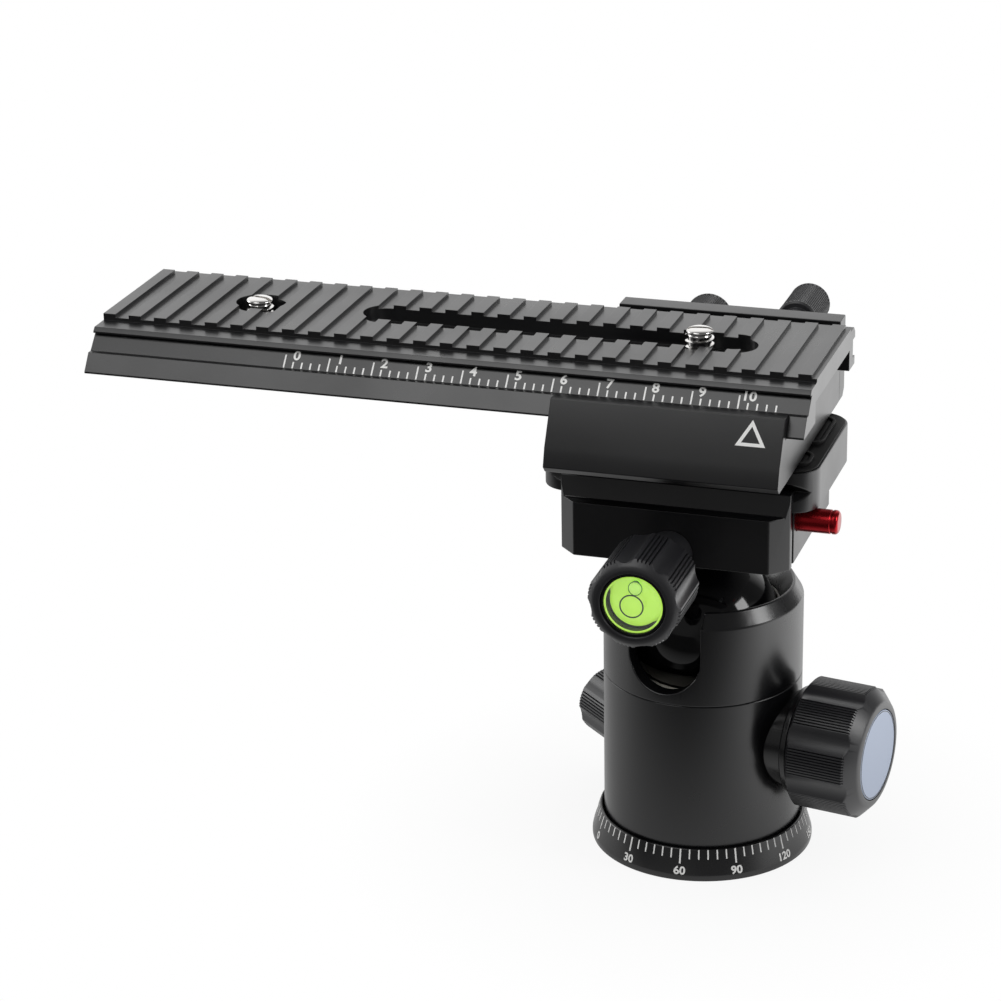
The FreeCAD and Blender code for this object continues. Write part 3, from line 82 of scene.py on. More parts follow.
def modified(piece, kind, **settings):
    """Adds a modifier with its settings and applies it."""
    take_up(piece)
    bpy.ops.object.modifier_add(type=kind)
    modifier = piece.modifiers[-1]
    for key, value in settings.items():
        setattr(modifier, key, value)
    bpy.ops.object.modifier_apply(modifier=modifier.name)
    return piece


def cut_out(piece, tool):
    """Cuts a tool out of a piece and throws the tool away."""
    modified(piece, "BOOLEAN", operation="DIFFERENCE", object=tool, solver="EXACT")
    bpy.data.objects.remove(tool)
    return piece


def shaded(piece, ease=0, segments=2, sharper_than=30):
    """Eases the sharp edges by so many millimetres and smooths what is round."""
    if ease:
        modified(piece, "BEVEL", width=ease * MM, segments=segments, limit_method="ANGLE",
                 angle_limit=math.radians(sharper_than), use_clamp_overlap=False)
    take_up(piece)
    bpy.ops.object.shade_smooth_by_angle(angle=math.radians(sharper_than + SMOOTHING_MARGIN))
    modified(piece, "WEIGHTED_NORMAL", keep_sharp=True)
    return piece


def set_down(piece, place):
    """Puts a piece where it belongs, with its place in its mesh."""
    piece.matrix_world = place @ piece.matrix_world
    take_up(piece)
    bpy.ops.object.transform_apply(location=True, rotation=True, scale=True)
    return piece


def copied(piece, name):
    """A copy of a piece with a mesh of its own."""
    twin = bpy.data.objects.new(name, piece.data.copy())
    bpy.context.scene.collection.objects.link(twin)
    return twin


def joined(name, pieces):
    """Several pieces made one."""
    take_up(pieces[0])
    for piece in pieces[1:]:
        piece.select_set(True)
    bpy.ops.object.join()
    pieces[0].name = name
    return pieces[0]


def rounded(corners, closed):
    """An outline of (across, up, ease) corners, each eased by three short chords.

    The two ends of an open outline aren't eased and need no third value."""
    chords = 3
    nearly_straight = 0.02  # sine of the turn at a corner that needs no easing
    longest_share = 0.45  # of a side, which leaves room for the easing at its other end
    count = len(corners)
    spots = [Vector(corner[:2]) for corner in corners]
    result = []
    for i, corner in enumerate(spots):
        if not closed and i in (0, count - 1):
            result.append(corner)
            continue
        back, on = spots[i - 1] - corner, spots[(i + 1) % count] - corner
        straight = abs(back.normalized().cross(on.normalized())) < nearly_straight
        reach = min(corners[i][2], back.length * longest_share, on.length * longest_share)
        if straight or reach <= 0:
            result.append(corner)
            continue
        start, end = corner + back.normalized() * reach, corner + on.normalized() * reach
        for step in range(chords + 1):
            t = step / chords
            result.append(start * (1 - t) ** 2 + corner * 2 * t * (1 - t) + end * t * t)
    return result + result[:1] if closed else result


def turned(name, corners, steps=96, closed=False):
    """A piece turned about Z from (radius, height, ease) corners in millimetres."""
    unselect()
    line = rounded(corners, closed)
    bpy.ops.mesh.primitive_plane_add(size=MM)
    piece = bpy.context.object
    piece.name = name
    bpy.ops.object.mode_set(mode="EDIT")
    bpy.ops.mesh.select_mode(type="VERT")
    bpy.ops.mesh.select_all(action="SELECT")
    bpy.ops.mesh.merge(type="CENTER")
    bpy.ops.transform.translate(value=(line[0].x * MM, 0, line[0].y * MM))
    for here, there in zip(line, line[1:]):
        step = (there - here) * MM
        bpy.ops.mesh.extrude_region_move(TRANSFORM_OT_translate={"value": (step.x, 0, step.y)})
    bpy.ops.mesh.select_all(action="SELECT")
    bpy.ops.mesh.spin(steps=steps, angle=2 * math.pi, center=(0, 0, 0), axis=(0, 0, 1))
    bpy.ops.mesh.select_all(action="SELECT")
    bpy.ops.mesh.remove_doubles(threshold=WELD)
    bpy.ops.mesh.normals_make_consistent(inside=False)
    bpy.ops.object.mode_set(mode="OBJECT")
    return piece


def flat_ring(name, inner, outer, low, high, ease=0, steps=64):
    """A thin ring about Z between two radii and two heights."""
    corners = [(inner, low, ease), (outer, low, ease), (outer, high, ease), (inner, high, ease)]
    return turned(name, corners, steps=steps, closed=True)


def block(name, low, high):
    """A plain block between two corners in millimetres, as a start or a cutter."""
    unselect()
    low, high = Vector(low) * MM, Vector(high) * MM
    bpy.ops.mesh.primitive_cube_add(size=1, location=(low + high) / 2, scale=high - low)
    piece = bpy.context.object
    piece.name = name
    return set_down(piece, Matrix.Identity(4))


def eased_copy(node, ease, segments=2, chamfer=None):
    """A copy of a machined solid with the small broken edges that the real one has.

    chamfer is a point in millimetres and a direction: what lies beyond is cut off first."""
    flat = math.radians(0.5)  # faces that turn less than this are one
    piece = copied(frame["nodes"][node], node + "_machined")
    take_up(piece)
    bpy.ops.mesh.customdata_custom_splitnormals_clear()
    bpy.ops.object.mode_set(mode="EDIT")
    bpy.ops.mesh.select_all(action="SELECT")
    bpy.ops.mesh.remove_doubles(threshold=SOLID_WELD)
    bpy.ops.mesh.dissolve_limited(angle_limit=flat)
    if chamfer:
        point, toward = chamfer
        bpy.ops.mesh.select_all(action="SELECT")
        bpy.ops.mesh.bisect(plane_co=Vector(point) * MM, plane_no=Vector(toward).normalized(),
                            use_fill=True, clear_outer=True)
    bpy.ops.object.mode_set(mode="OBJECT")
    return shaded(piece, ease, segments)


def fluted(piece, steps, repeats, ridges, hollow_steps, ridge_depth, hollow_depth):
    """Mills fine grooves and smooth hollows by turns along a grip; they run out in its bevels.

    The grip has so many steps around it, and a repeat is one hollow and the ridges after it."""
    first_groove, groove_spacing = 2, 4  # steps from the hollow, and from groove to groove
    hair = 0.001  # millimetres, far less than any stretch of an outline
    radius = max(v.co.xy.length for v in piece.data.vertices)
    period = steps // repeats
    rings = {(round(v.co.z / MM, 3), round(v.co.xy.length / MM, 3)) for v in piece.data.vertices}

    def step_of(vertex):
        turn = math.atan2(vertex.co.y, vertex.co.x) / (2 * math.pi)
        return round(turn * steps) % period

    def cut(offsets, depth):
        floor = radius / MM - depth
        for height, size in sorted(rings):
            if size > floor + hair:
                pick(piece, "VERT", lambda v: round(v.co.z / MM, 3) == height
                     and abs(v.co.xy.length / MM - size) < 2 * hair and step_of(v) in offsets)
                bpy.ops.transform.resize(value=(floor / size, floor / size, 1),
                                         center_override=(0, 0, 0))
                bpy.ops.object.mode_set(mode="OBJECT")

    for i in range(1, hollow_steps // 2 + 1):
        share = 1 - (1 - i / (hollow_steps / 2)) ** 2
        cut({i, hollow_steps - i}, hollow_depth * share)
    cut({hollow_steps + first_groove + groove_spacing * i for i in range(ridges)}, ridge_depth)
    return piece


def knurled(piece, low, high, around, depth):
    """Presses a diamond knurl into the rows of points between two heights of a turned grip."""
    radius = max(v.co.xy.length for v in piece.data.vertices)
    grip_radius = radius * 0.98  # the grip's points all lie beyond it
    rows = sorted({round(v.co.z / MM, 3) for v in piece.data.vertices
                   if low * MM < v.co.z < high * MM and v.co.xy.length > grip_radius})

    def is_low(vertex):
        height = round(vertex.co.z / MM, 3)
        if height not in rows or vertex.co.xy.length < grip_radius:
            return False
        step = round(math.atan2(vertex.co.y, vertex.co.x) / (2 * math.pi) * around)
        return (step + rows.index(height)) % 2 == 1

    pick(piece, "VERT", is_low)
    factor = 1 - depth * MM / radius
    bpy.ops.transform.resize(value=(factor, factor, 1), center_override=(0, 0, 0))
    bpy.ops.mesh.select_all(action="SELECT")
    bpy.ops.mesh.quads_convert_to_tris(quad_method="SHORTEST_DIAGONAL")
    bpy.ops.object.mode_set(mode="OBJECT")
    return piece


def thread(name, radius, pitch, start, length):
    """The helical ridge of a screw thread about Z, a three-cornered bar wound up to a radius."""
    ridge_size = pitch * 0.52  # from the bar's middle to its corners
    turns = length / pitch
    facets = int(32 * turns)
    unselect()
    bpy.ops.mesh.primitive_circle_add(vertices=3, radius=ridge_size * MM, fill_type="NOTHING",
                                      location=(0, 0, 0), rotation=(math.pi / 2, math.pi / 2, 0))
    piece = bpy.context.object
    piece.name = name
    reach = max(v.co.length for v in piece.data.vertices) / MM
    set_down(piece, Matrix.Translation(((radius - reach) * MM, 0, start * MM)))
    modified(piece, "SCREW", angle=2 * math.pi * turns, screw_offset=length * MM, axis="Z",
             steps=facets, render_steps=facets, use_merge_vertices=False)
    take_up(piece)
    bpy.ops.object.mode_set(mode="EDIT")
    bpy.ops.mesh.select_all(action="DESELECT")
    bpy.ops.mesh.select_mode(type="EDGE")
    bpy.ops.mesh.select_non_manifold()
    bpy.ops.mesh.fill()
    bpy.ops.mesh.select_all(action="SELECT")
    bpy.ops.mesh.normals_make_consistent(inside=False)
    bpy.ops.object.mode_set(mode="OBJECT")
    return piece


def lettered(text, height):
    """A flat word that stands on the X axis, centred, so many millimetres high."""
    digit_share = 0.73  # of the letters' nominal size
    bold = 0.028  # share of that size by which the strokes swell
    width_share = 1.08  # the digits are drawn a little wide
    unselect()
    bpy.ops.object.text_add(location=(0, 0, 0))
    piece = bpy.context.object
    piece.data.body = text
    piece.data.align_x = "CENTER"
    piece.data.size = height / digit_share * MM
    piece.data.offset = bold * piece.data.size
    piece.data.resolution_u = 4
    bpy.ops.object.convert(target="MESH")
    piece = take_up(bpy.context.object)
    piece.scale.x = width_share
    bpy.ops.object.transform_apply(scale=True)
    if piece.data.polygons[0].normal.z < 0:
        bpy.ops.object.mode_set(mode="EDIT")
        bpy.ops.mesh.select_all(action="SELECT")
        bpy.ops.mesh.flip_normals()
        bpy.ops.object.mode_set(mode="OBJECT")
    return piece


def tick(name, width, length):
    """A flat bar whose top is at the origin."""
    unselect()
    bpy.ops.mesh.primitive_plane_add(size=1, location=(0, -length * MM / 2, 0))
    piece = bpy.context.object
    piece.name = name
    bpy.ops.transform.resize(value=(width * MM, length * MM, 1))
    return set_down(piece, Matrix.Identity(4))


def printed(name, marks, onto=None):
    """Flat marks joined into one thin print, laid on a round surface if one is given."""
    gap, thickness = 0.015, 0.04
    sheet = joined(name, marks)
    if onto:
        modified(sheet, "SHRINKWRAP", target=onto, wrap_method="NEAREST_SURFACEPOINT",
                 wrap_mode="ABOVE_SURFACE", offset=gap * MM)
    modified(sheet, "SOLIDIFY", thickness=thickness * MM, offset=1)
    bpy.ops.object.shade_flat()
    return sheet


# --- materials ----------------------------------------------------------------


def colour(code):
    """An sRGB hex colour as linear RGBA."""
    parts = [int(code[i:i + 2], 16) / 255 for i in (1, 3, 5)]
    return [c / 12.92 if c <= 0.04045 else ((c + 0.055) / 1.055) ** 2.4 for c in parts] + [1]


def add(tree, kind, inputs=None, links=None, **settings):
    """Adds a node with its settings, its socket values and what feeds its sockets."""
    node = tree.nodes.new(kind)
    for key, value in settings.items():
        setattr(node, key, value)
    for key, value in (inputs or {}).items():
        node.inputs[key].default_value = value
    for key, output in (links or {}).items():
        tree.links.new(output, node.inputs[key])
    return node


def material(name):
    """An empty material, with its node tree."""
    made = bpy.data.materials.new(name)
    made.use_nodes = True
    made.node_tree.nodes.clear()
    return made, made.node_tree


def surfaced(name, dark, light, roughness, spread=0.05, metallic=0, grain=0.3, bump=0.15,
             depth=0.02, stretch=(1, 1, 1), patch=25, **extra):
    """A finish with a fine grain in its bump and slow changes in colour and roughness.

    grain and patch are the sizes of the two patterns in millimetres, depth is
    the height of the grain in millimetres, and stretch draws it out along an axis.
    The real grains are finer than they can show, so they are drawn this coarse."""
    made, tree = material(name)
    place = add(tree, "ShaderNodeTexCoord")
    run = add(tree, "ShaderNodeMapping", {"Scale": stretch}, {"Vector": place.outputs["Object"]})
    fine = add(tree, "ShaderNodeTexNoise", {"Scale": 1 / (grain * MM), "Detail": 3},
               {"Vector": run.outputs["Vector"]})
    slow = add(tree, "ShaderNodeTexNoise", {"Scale": 1 / (patch * MM), "Detail": 4},
               {"Vector": place.outputs["Object"]})
    tint = add(tree, "ShaderNodeMixRGB", {"Color1": colour(dark), "Color2": colour(light)},
               {"Fac": slow.outputs["Fac"]})
    low, high = 0.3, 0.7  # the noise seldom leaves them
    rough = add(tree, "ShaderNodeMapRange", {
        "From Min": low, "From Max": high, "To Min": roughness - spread,
        "To Max": roughness + spread}, {"Value": slow.outputs["Fac"]})
    relief = add(tree, "ShaderNodeBump", {"Strength": bump, "Distance": depth * MM},
                 {"Height": fine.outputs["Fac"]})
    values = {"Metallic": metallic}
    values.update(extra)
    shader = add(tree, "ShaderNodeBsdfPrincipled", values, {
        "Base Color": tint.outputs["Color"], "Roughness": rough.outputs["Result"],
        "Normal": relief.outputs["Normal"]})
    add(tree, "ShaderNodeOutputMaterial", None, {"Surface": shader.outputs["BSDF"]})
    return made


# Black anodised aluminium, bead blasted: the dyed oxide hides the metal, so it is a
# dark dielectric whose satin sheen turns grey where it is seen flat.
anodised = surfaced("black_anodised_aluminium", "#0d0d0f", "#121214", 0.33, IOR=1.65)
# The same oxide over an extrusion, whose faint die lines run along the bar.
extruded = surfaced("extruded_anodised_aluminium", "#0d0d0f", "#131315", 0.31, grain=0.25,
                    stretch=(0.02, 1, 1), bump=0.12, IOR=1.8)
# Turned and anodised: shinier, with finer grain.
turned_black = surfaced("turned_anodised_aluminium", "#0b0b0d", "#101012", 0.25, grain=0.2,
                        bump=0.1, IOR=1.65)
# Knobs, blasted before they were anodised: duller and a shade lighter.
knob_black = surfaced("blasted_anodised_aluminium", "#1f1f22", "#262629", 0.38, grain=0.2,
                      bump=0.1, IOR=1.7)
# A hard anodised ball, polished before it was dyed: clear reflections on a black ground.
polished_black = surfaced("polished_black_ball", "#050506", "#08080a", 0.08, spread=0.02,
                          bump=0.02, grain=0.4)
# Disc of satin aluminium, dyed a pale blue grey: a matt metal that stays light all over.
pale_disc = surfaced("dyed_aluminium_disc", "#a9b6ce", "#b4c0d5", 0.34, metallic=0.35,
                     grain=0.15, bump=0.08)
# Red anodised pin, bright dipped before it was dyed: the metal shines through the red.
red_pin = surfaced("red_anodised_aluminium", "#9c141c", "#ad1a22", 0.24, metallic=0.85,
                   bump=0.05)
# Chromed camera and plate screws: bright, with the room in sharp bands along the turns.
chrome = surfaced("chromed_steel", "#e2e0de", "#ecebe9", 0.12, spread=0.03, metallic=1,
                  bump=0.04)
# Zinc plated screws, springs, shafts and washers: a dull light grey metal.
zinc = surfaced("zinc_plated_steel", "#a9abad", "#b6b8ba", 0.32, metallic=1, bump=0.1)
# Small screws with an oiled black oxide: soft dark grey highlights.
blackened = surfaced("black_oxide_steel", "#1b1b1d", "#232326", 0.42, metallic=0.3, bump=0.12)
# Bearing bronze of the wedge, the bush and the brake pads: brown metal with a soft shine.
bronze = surfaced("bearing_bronze", "#8d6a3c", "#a07a48", 0.38, metallic=1, bump=0.1)
# Moulded rubber with an eroded skin: black, almost without shine.
rubber = surfaced("moulded_rubber", "#0a0a0a", "#101010", 0.5, grain=0.35, bump=0.25,
                  depth=0.03, **{"Specular IOR Level": 0.25})
# Machined acetal of the upper seat, the thrust ring and the swivel washer: waxy off-white.
acetal = surfaced("white_acetal", "#cfcdc6", "#dad8d2", 0.45, bump=0.06)
# Moulded plastic of the lower seat: the same wax in a warmer tone.
ivory = surfaced("pale_moulded_plastic", "#c3c0b4", "#d2cfc4", 0.45, bump=0.06)
# The level's case, moulded in a polished die: smooth and glossy black.
level_case = surfaced("black_moulded_plastic", "#0b0b0c", "#101011", 0.2, bump=0.04)
# Silk-screened ink, a little rough and not quite even.
ink = surfaced("white_ink", "#f8f8f6", "#fdfdfb", 0.5, grain=0.15, bump=0.2, patch=6)
# The same ink in black, on the disc's border and the level's circle.
black_ink = surfaced("black_ink", "#0a0d06", "#10140a", 0.4, bump=0.05)
# Dyed spirit in the level, lime green, with a painted glow: its emission keeps it bright whatever
# light reaches it.
fluid = surfaced("dyed_spirit_painted_glow", "#bdf04e", "#c9f666", 0.12, bump=0.02, patch=8, **{
    "Emission Color": colour("#c6f560"), "Emission Strength": 0.5})
# Lit and shaded copies of the same spirit: a lighter one with the painted glow for the bubble, a
# painted highlight, and a darker one, painted shade, for the ring at the bubble's edge.
painted_light_spirit = surfaced("spirit_painted_light", "#bdf27a", "#cdf98c", 0.1, bump=0.02, patch=3, **{
    "Emission Color": colour("#c4f46a"), "Emission Strength": 0.5})
painted_shade_spirit = surfaced("spirit_in_shade", "#3f7d1c", "#4a8a22", 0.15, bump=0.02, patch=3)


def clear_acrylic():
    """Clear moulded acrylic over the level: colourless, with a faint swell in what it shows."""
    made, tree = material("clear_acrylic")
    place = add(tree, "ShaderNodeTexCoord")
    swell = add(tree, "ShaderNodeTexNoise", {"Scale": 1 / (3 * MM)},
                {"Vector": place.outputs["Object"]})
    relief = add(tree, "ShaderNodeBump", {"Strength": 0.02, "Distance": 0.01 * MM},
                 {"Height": swell.outputs["Fac"]})
    clear = add(tree, "ShaderNodeBsdfPrincipled", {
        "Base Color": colour("#fbfffa"), "Roughness": 0.02, "Transmission Weight": 1,
        "IOR": 1.49}, {"Normal": relief.outputs["Normal"]})
    add(tree, "ShaderNodeOutputMaterial", None, {"Surface": clear.outputs["BSDF"]})
    return made


window = clear_acrylic()

FINISHES = {
    "black_aluminium": anodised, "gloss_black": polished_black, "cap_aluminium": pale_disc,
    "red_aluminium": red_pin, "bright_steel": chrome, "plain_steel": zinc,
    "black_steel": blackened, "bronze": bronze, "black_rubber": rubber, "slide_plastic": acetal,
    "pale_plastic": ivory, "level_black": level_case, "level_fluid": fluid,
    "level_window": window,
}
for part in frame["record"]["subparts"]:
    node = frame["nodes"][part["node"]]
    if not node.data.materials:
        node.data.materials.append(None)
    for slot in node.material_slots:
        slot.material = FINISHES[part["material_slot"]]


def fit(piece, body, finish, replaces=()):
    """Gives a finished piece its material and lets it ride on its body."""
    piece.data.materials.clear()
    piece.data.materials.append(finish)
    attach(piece, body)
    if replaces:
        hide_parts(*replaces)
    return piece


# --- places -------------------------------------------------------------------


def standing(x, y, z, toward):
    """A place whose Z points out level, so many degrees from +X, or along a named axis."""
    turns = {
        "+y": Matrix.Rotation(-math.pi / 2, 4, "X"), "-y": Matrix.Rotation(math.pi / 2, 4, "X"),
        "+x": Matrix.Rotation(math.pi / 2, 4, "Y"), "+z": Matrix.Identity(4),
    }
    if toward in turns:
        turn = turns[toward]
    else:
        turn = Matrix.Rotation(math.radians(toward), 4, "Z") @ turns["+x"]
    return Matrix.Translation(Vector((x, y, z)) * MM) @ turn


def on_joint(name, toward):
    """A place on a joint's axis, whose Z points out along what turns there."""
    x, y, z = (metres / MM for metres in joints[name]["pos_m"])
    return standing(x, y, z, toward)


def leaning(up, x, spot):
    """A place on a face that leans about X, with Y up its slope, at a spot moved to x."""
    along = Vector((1, 0, 0))
    place = Matrix((along, up, along.cross(up))).transposed().to_4x4()
    place.translation = Vector((x, spot.y, spot.z)) * MM
    return place


MAIN_LOCK_HEADING, PAN_LOCK_HEADING = 350, 137  # degrees from +X
main_axis = on_joint("main_lock_turn", MAIN_LOCK_HEADING)
pan_axis = on_joint("pan_lock_turn", PAN_LOCK_HEADING)
clamp_axis = on_joint("clamp_knob_turn", "-y")
focus_axis = on_joint("focus_turn", "+y")
rail_lock_axis = on_joint("rail_lock_turn", "+y")

# --- base with its degrees ----------------------------------------------------

BASE_RADIUS, FOOT_HEIGHT = 24.7, 1.2  # the upright foot below the cone
CONE_LEAN, CONE_HEIGHT = 1.7, 5.8
BASE_TOP = FOOT_HEIGHT + CONE_HEIGHT
HOUSING_RECESS, HOUSING_FLOOR = 22.4, 3.6  # the housing turns in it
POST_RADIUS, FLANGE_RADIUS, FLANGE_TOP = 9, 13, 2

base = turned("base_cone", [
    (FLANGE_RADIUS, 0, 0), (BASE_RADIUS, 0, 0.3), (BASE_RADIUS, FOOT_HEIGHT, 0.3),
    (BASE_RADIUS - CONE_LEAN, BASE_TOP, 0.25), (HOUSING_RECESS, BASE_TOP, 0.2),
    (HOUSING_RECESS, HOUSING_FLOOR, 0), (POST_RADIUS, HOUSING_FLOOR, 0),
    (POST_RADIUS, FLANGE_TOP, 0), (FLANGE_RADIUS, FLANGE_TOP, 0)], steps=180, closed=True)
shaded(base)
fit(base, "base", turned_black, ["base_plate"])

CONE_TILT = math.atan2(CONE_LEAN, CONE_HEIGHT)  # the cone leans back this far from upright
ZERO_MARK = -147.4  # direction of the zero mark in degrees from +X
TICK_EVERY, NUMBER_EVERY = 5, 30  # degrees
TICK_TOP, NUMBER_FOOT, NUMBER_HEIGHT = 6.95, 1.55, 1.8


def on_cone(piece, degrees, height):
    """Lays a flat mark, drawn upright in XY, on the base's cone."""
    gap = 0.02
    radius = BASE_RADIUS - (height - FOOT_HEIGHT) * CONE_LEAN / CONE_HEIGHT + gap
    place = Matrix.Rotation(math.radians(degrees), 4, "Z") \
        @ Matrix.Translation(Vector((radius, 0, height)) * MM) \
        @ Matrix.Rotation(-CONE_TILT, 4, "Y") @ Matrix.Rotation(math.pi / 2, 4, "Z") \
        @ Matrix.Rotation(math.pi / 2, 4, "X")
    return set_down(piece, place)


short_tick = tick("short_tick", width=0.3, length=2.15)
long_tick = tick("long_tick", width=0.36, length=3.25)
marks = []
for number in range(0, 360, TICK_EVERY):
    source = short_tick if number % NUMBER_EVERY else long_tick
    marks.append(on_cone(copied(source, "degree"), ZERO_MARK + number, TICK_TOP))
for source in (short_tick, long_tick):
    bpy.data.objects.remove(source)
for number in range(0, 360, NUMBER_EVERY):
    marks.append(on_cone(lettered(str(number), NUMBER_HEIGHT), ZERO_MARK + number, NUMBER_FOOT))
fit(printed("degree_marks", marks, base), "base", ink)

# --- housing ------------------------------------------------------------------

LOCK_BORE = 4.1  # for the main lock's screw

for node, ease in (("housing_shell", 0.2), ("housing_collar", 0.35)):
    fit(eased_copy(node, ease, segments=3), "housing", turned_black, [node])
boss = turned("lock_boss", [
    (LOCK_BORE, 18.4, 0), (10.5, 18.4, 0),  # its shank in the housing
    (10.5, 23.1, 0.15), (10.2, 23.2, 0.1), (10.3, 23.3, 0.1),  # the groove behind its collar
    (11.8, 23.3, 0.2), (12, 23.6, 0.15), (12, 24.7, 0.3), (11.6, 24.9, 0.1),  # the collar
    (LOCK_BORE, 24.9, 0)], steps=120, closed=True)
shaded(boss)
fit(set_down(boss, main_axis), "housing", turned_black, ["boss_ring"])

# --- knobs --------------------------------------------------------------------


def fluted_knob(name, corners, place, steps, phase=0, **flutes):
    """A turned knob with its grip milled, set in its place after a turn of phase degrees."""
    piece = turned(name, corners, steps=steps)
    fluted(piece, steps, **flutes)
    shaded(piece, sharper_than=22)
    return set_down(piece, place @ Matrix.Rotation(math.radians(phase), 4, "Z"))


def knurled_knob(name, hub, grip, face, rows, around, place):
    """A turned knob with a diamond knurl on its grip, coarse enough to show.

    hub and face are corners of its outline, and grip is the (start, end, radius) between."""
    start, end, radius = grip
    plain_rim, depth = 0.1, 0.38
    points = [(radius, start + (end - start) * i / rows, 0) for i in range(rows + 1)]
    piece = turned(name, hub + points + face, steps=around)
    knurled(piece, start + plain_rim, end - plain_rim, around, depth)
    shaded(piece, sharper_than=5)
    return set_down(piece, place)


main_knob = fluted_knob("main_lock_grip", [
    (LOCK_BORE, 25.4, 0), (13.5, 25.4, 0.3),  # its back
    (13.8, 25.6, 0), (14.2, 25.95, 0), (14.6, 26.3, 0), (14.6, 38.9, 0),  # the grip
    (14.4, 39.1, 0), (14.15, 39.34, 0), (13.9, 39.58, 0), (13.65, 39.82, 0),  # where flutes end
    (11.7, 41.6, 1.0), (10.7, 41.8, 0.2), (10.15, 41.8, 0.12),  # the front bevel and the rim
    (10.1, 40.9, 0), (0, 40.9)],  # the seat of the disc
    main_axis, steps=576, phase=6, repeats=8, ridges=10, hollow_steps=32, ridge_depth=0.42,
    hollow_depth=0.95)
fit(main_knob, "main_lock", knob_black, ["main_knob"])
cap = turned("main_lock_disc", [(0, 40.95), (9.95, 40.95, 0), (9.95, 41.75, 0.12), (0, 41.75)],
             steps=128)
fit(set_down(shaded(cap), main_axis), "main_lock", pale_disc, ["main_knob_cap"])
border = flat_ring("disc_border", 9.55, 9.72, 41.74, 41.79, steps=128)
fit(set_down(shaded(border), main_axis), "main_lock", black_ink)

pan_knob = fluted_knob("pan_lock_grip", [
    (3.05, 22.6, 0), (5.5, 22.6, 0.2), (5.5, 25.2, 0.2), (7.1, 25.2, 0.2),  # the hub
    (7.4, 25.4, 0), (7.75, 25.7, 0), (8.1, 26.05, 0), (8.1, 40.6, 0),  # the grip
    (7.9, 40.8, 0), (7.65, 41.05, 0), (7.4, 41.3, 0),  # where the flutes end
    (6.5, 42.1, 0.3), (0, 42.2)],  # the crowned face
    pan_axis, steps=288, phase=5, repeats=6, ridges=6, hollow_steps=20, ridge_depth=0.4,
    hollow_depth=0.7)
fit(pan_knob, "pan_lock", knob_black, ["pan_lock_knob"])

clamp_knob = fluted_knob("clamp_grip", [
    (2.6, 25.5, 0), (5, 25.5, 0.3), (5, 38.4, 0.3), (9.0, 38.4, 0.2),  # the long hub
    (9.3, 38.65, 0), (9.6, 38.95, 0), (9.85, 39.2, 0), (9.85, 53.5, 0),  # the grip
    (9.65, 53.7, 0), (9.4, 53.95, 0), (9.15, 54.2, 0),  # where the flutes end
    (8.5, 54.75, 0.4), (7.7, 55, 0.2), (7.0, 55, 0.2),  # the rim round the level
    (6.9, 54.6, 0.1), (6.9, 50, 0), (0, 50)],  # the pocket for the level
    clamp_axis, steps=288, repeats=8, ridges=4, hollow_steps=18, ridge_depth=0.5,
    hollow_depth=0.75)
fit(clamp_knob, "clamp_knob", knob_black, ["clamp_knob"])

focus_knob = knurled_knob(
    "focus_grip", hub=[(1.55, 28.1, 0), (3.6, 28.1, 0.3), (3.6, 32, 0.2), (4.9, 32, 0.1)],
    grip=(32.4, 48.6, 5.4), face=[(4.9, 49, 0.15), (2.1, 49, 0.2), (2.1, 48.6, 0.2), (0, 48.6)],
    rows=36, around=76, place=focus_axis)
fit(focus_knob, "focus_drive", knob_black, ["focus_knob"])

rail_lock_knob = knurled_knob(
    "rail_lock_grip", hub=[(2.05, 29, 0), (3.2, 29, 0.2), (3.2, 33.5, 0.2), (4.2, 33.5, 0.1)],
    grip=(33.9, 47.1, 4.65),
    face=[(4.2, 47.5, 0.15), (1.9, 47.5, 0.2), (1.9, 47.1, 0.2), (0, 47.1)],
    rows=30, around=66, place=rail_lock_axis)
fit(rail_lock_knob, "rail_lock", knob_black, ["lock_knob"])

# --- level in the clamp knob --------------------------------------------------

BUBBLE_PLACE, CIRCLE_PLACE = (-0.05, 2.8), (-0.5, -0.6)  # aside of and above the level's middle


def in_level(piece, finish, replaces=(), beside=(0, 0)):
    """Sets a part of the level into the clamp knob's face, beside its middle if need be."""
    aside, above = beside
    set_down(piece, Matrix.Translation((aside * MM, above * MM, 0)))
    return fit(set_down(shaded(piece), clamp_axis), "clamp_knob", finish, replaces)


in_level(turned("level_cup", [
    (0, 50.05), (6.85, 50.05, 0), (6.85, 54.7, 0.15),  # outside
    (6.3, 54.7, 0.1), (6.25, 53.8, 0.1), (6.0, 53.8, 0),  # the ledge that holds the window
    (5.7, 51.4, 0.1), (0, 51.4)]), level_case, ["level_housing"])  # inside
# The spirit and the rim round the window carry the spirit's painted glow.
in_level(turned("level_spirit", [
    (0, 51.42), (5.3, 51.42, 0), (5.3, 52.1, 0.3), (3, 52.3, 0.5), (0, 52.35)]),
    fluid, ["level_vial"])
in_level(flat_ring("level_rim", 5.75, 6.15, 53.82, 54.0, ease=0.05, steps=96), fluid)
# The bubble: the lighter copy of the spirit, a painted highlight.
in_level(turned("level_bubble", [
    (0, 52.3), (1.35, 52.3, 0.1), (1.25, 52.55, 0.2), (0, 52.6)], steps=48),
    painted_light_spirit, beside=BUBBLE_PLACE)
in_level(flat_ring("level_circle", 2.25, 2.55, 53.45, 53.53), black_ink, beside=CIRCLE_PLACE)
# The dark ring round the bubble: the darker copy of the spirit, painted shade.
in_level(flat_ring("bubble_edge", 1.3, 1.45, 52.4, 52.48), painted_shade_spirit, beside=BUBBLE_PLACE)
dome = in_level(turned("level_dome", [
    (0, 54.1), (5.9, 54.1, 0), (6.25, 54.1, 0.1), (6.25, 54.3, 0.1), (5.5, 54.6, 0.3),
    (3.6, 54.85, 0.6), (0, 54.95)]), window, ["level_lens"])
dome.visible_shadow = False

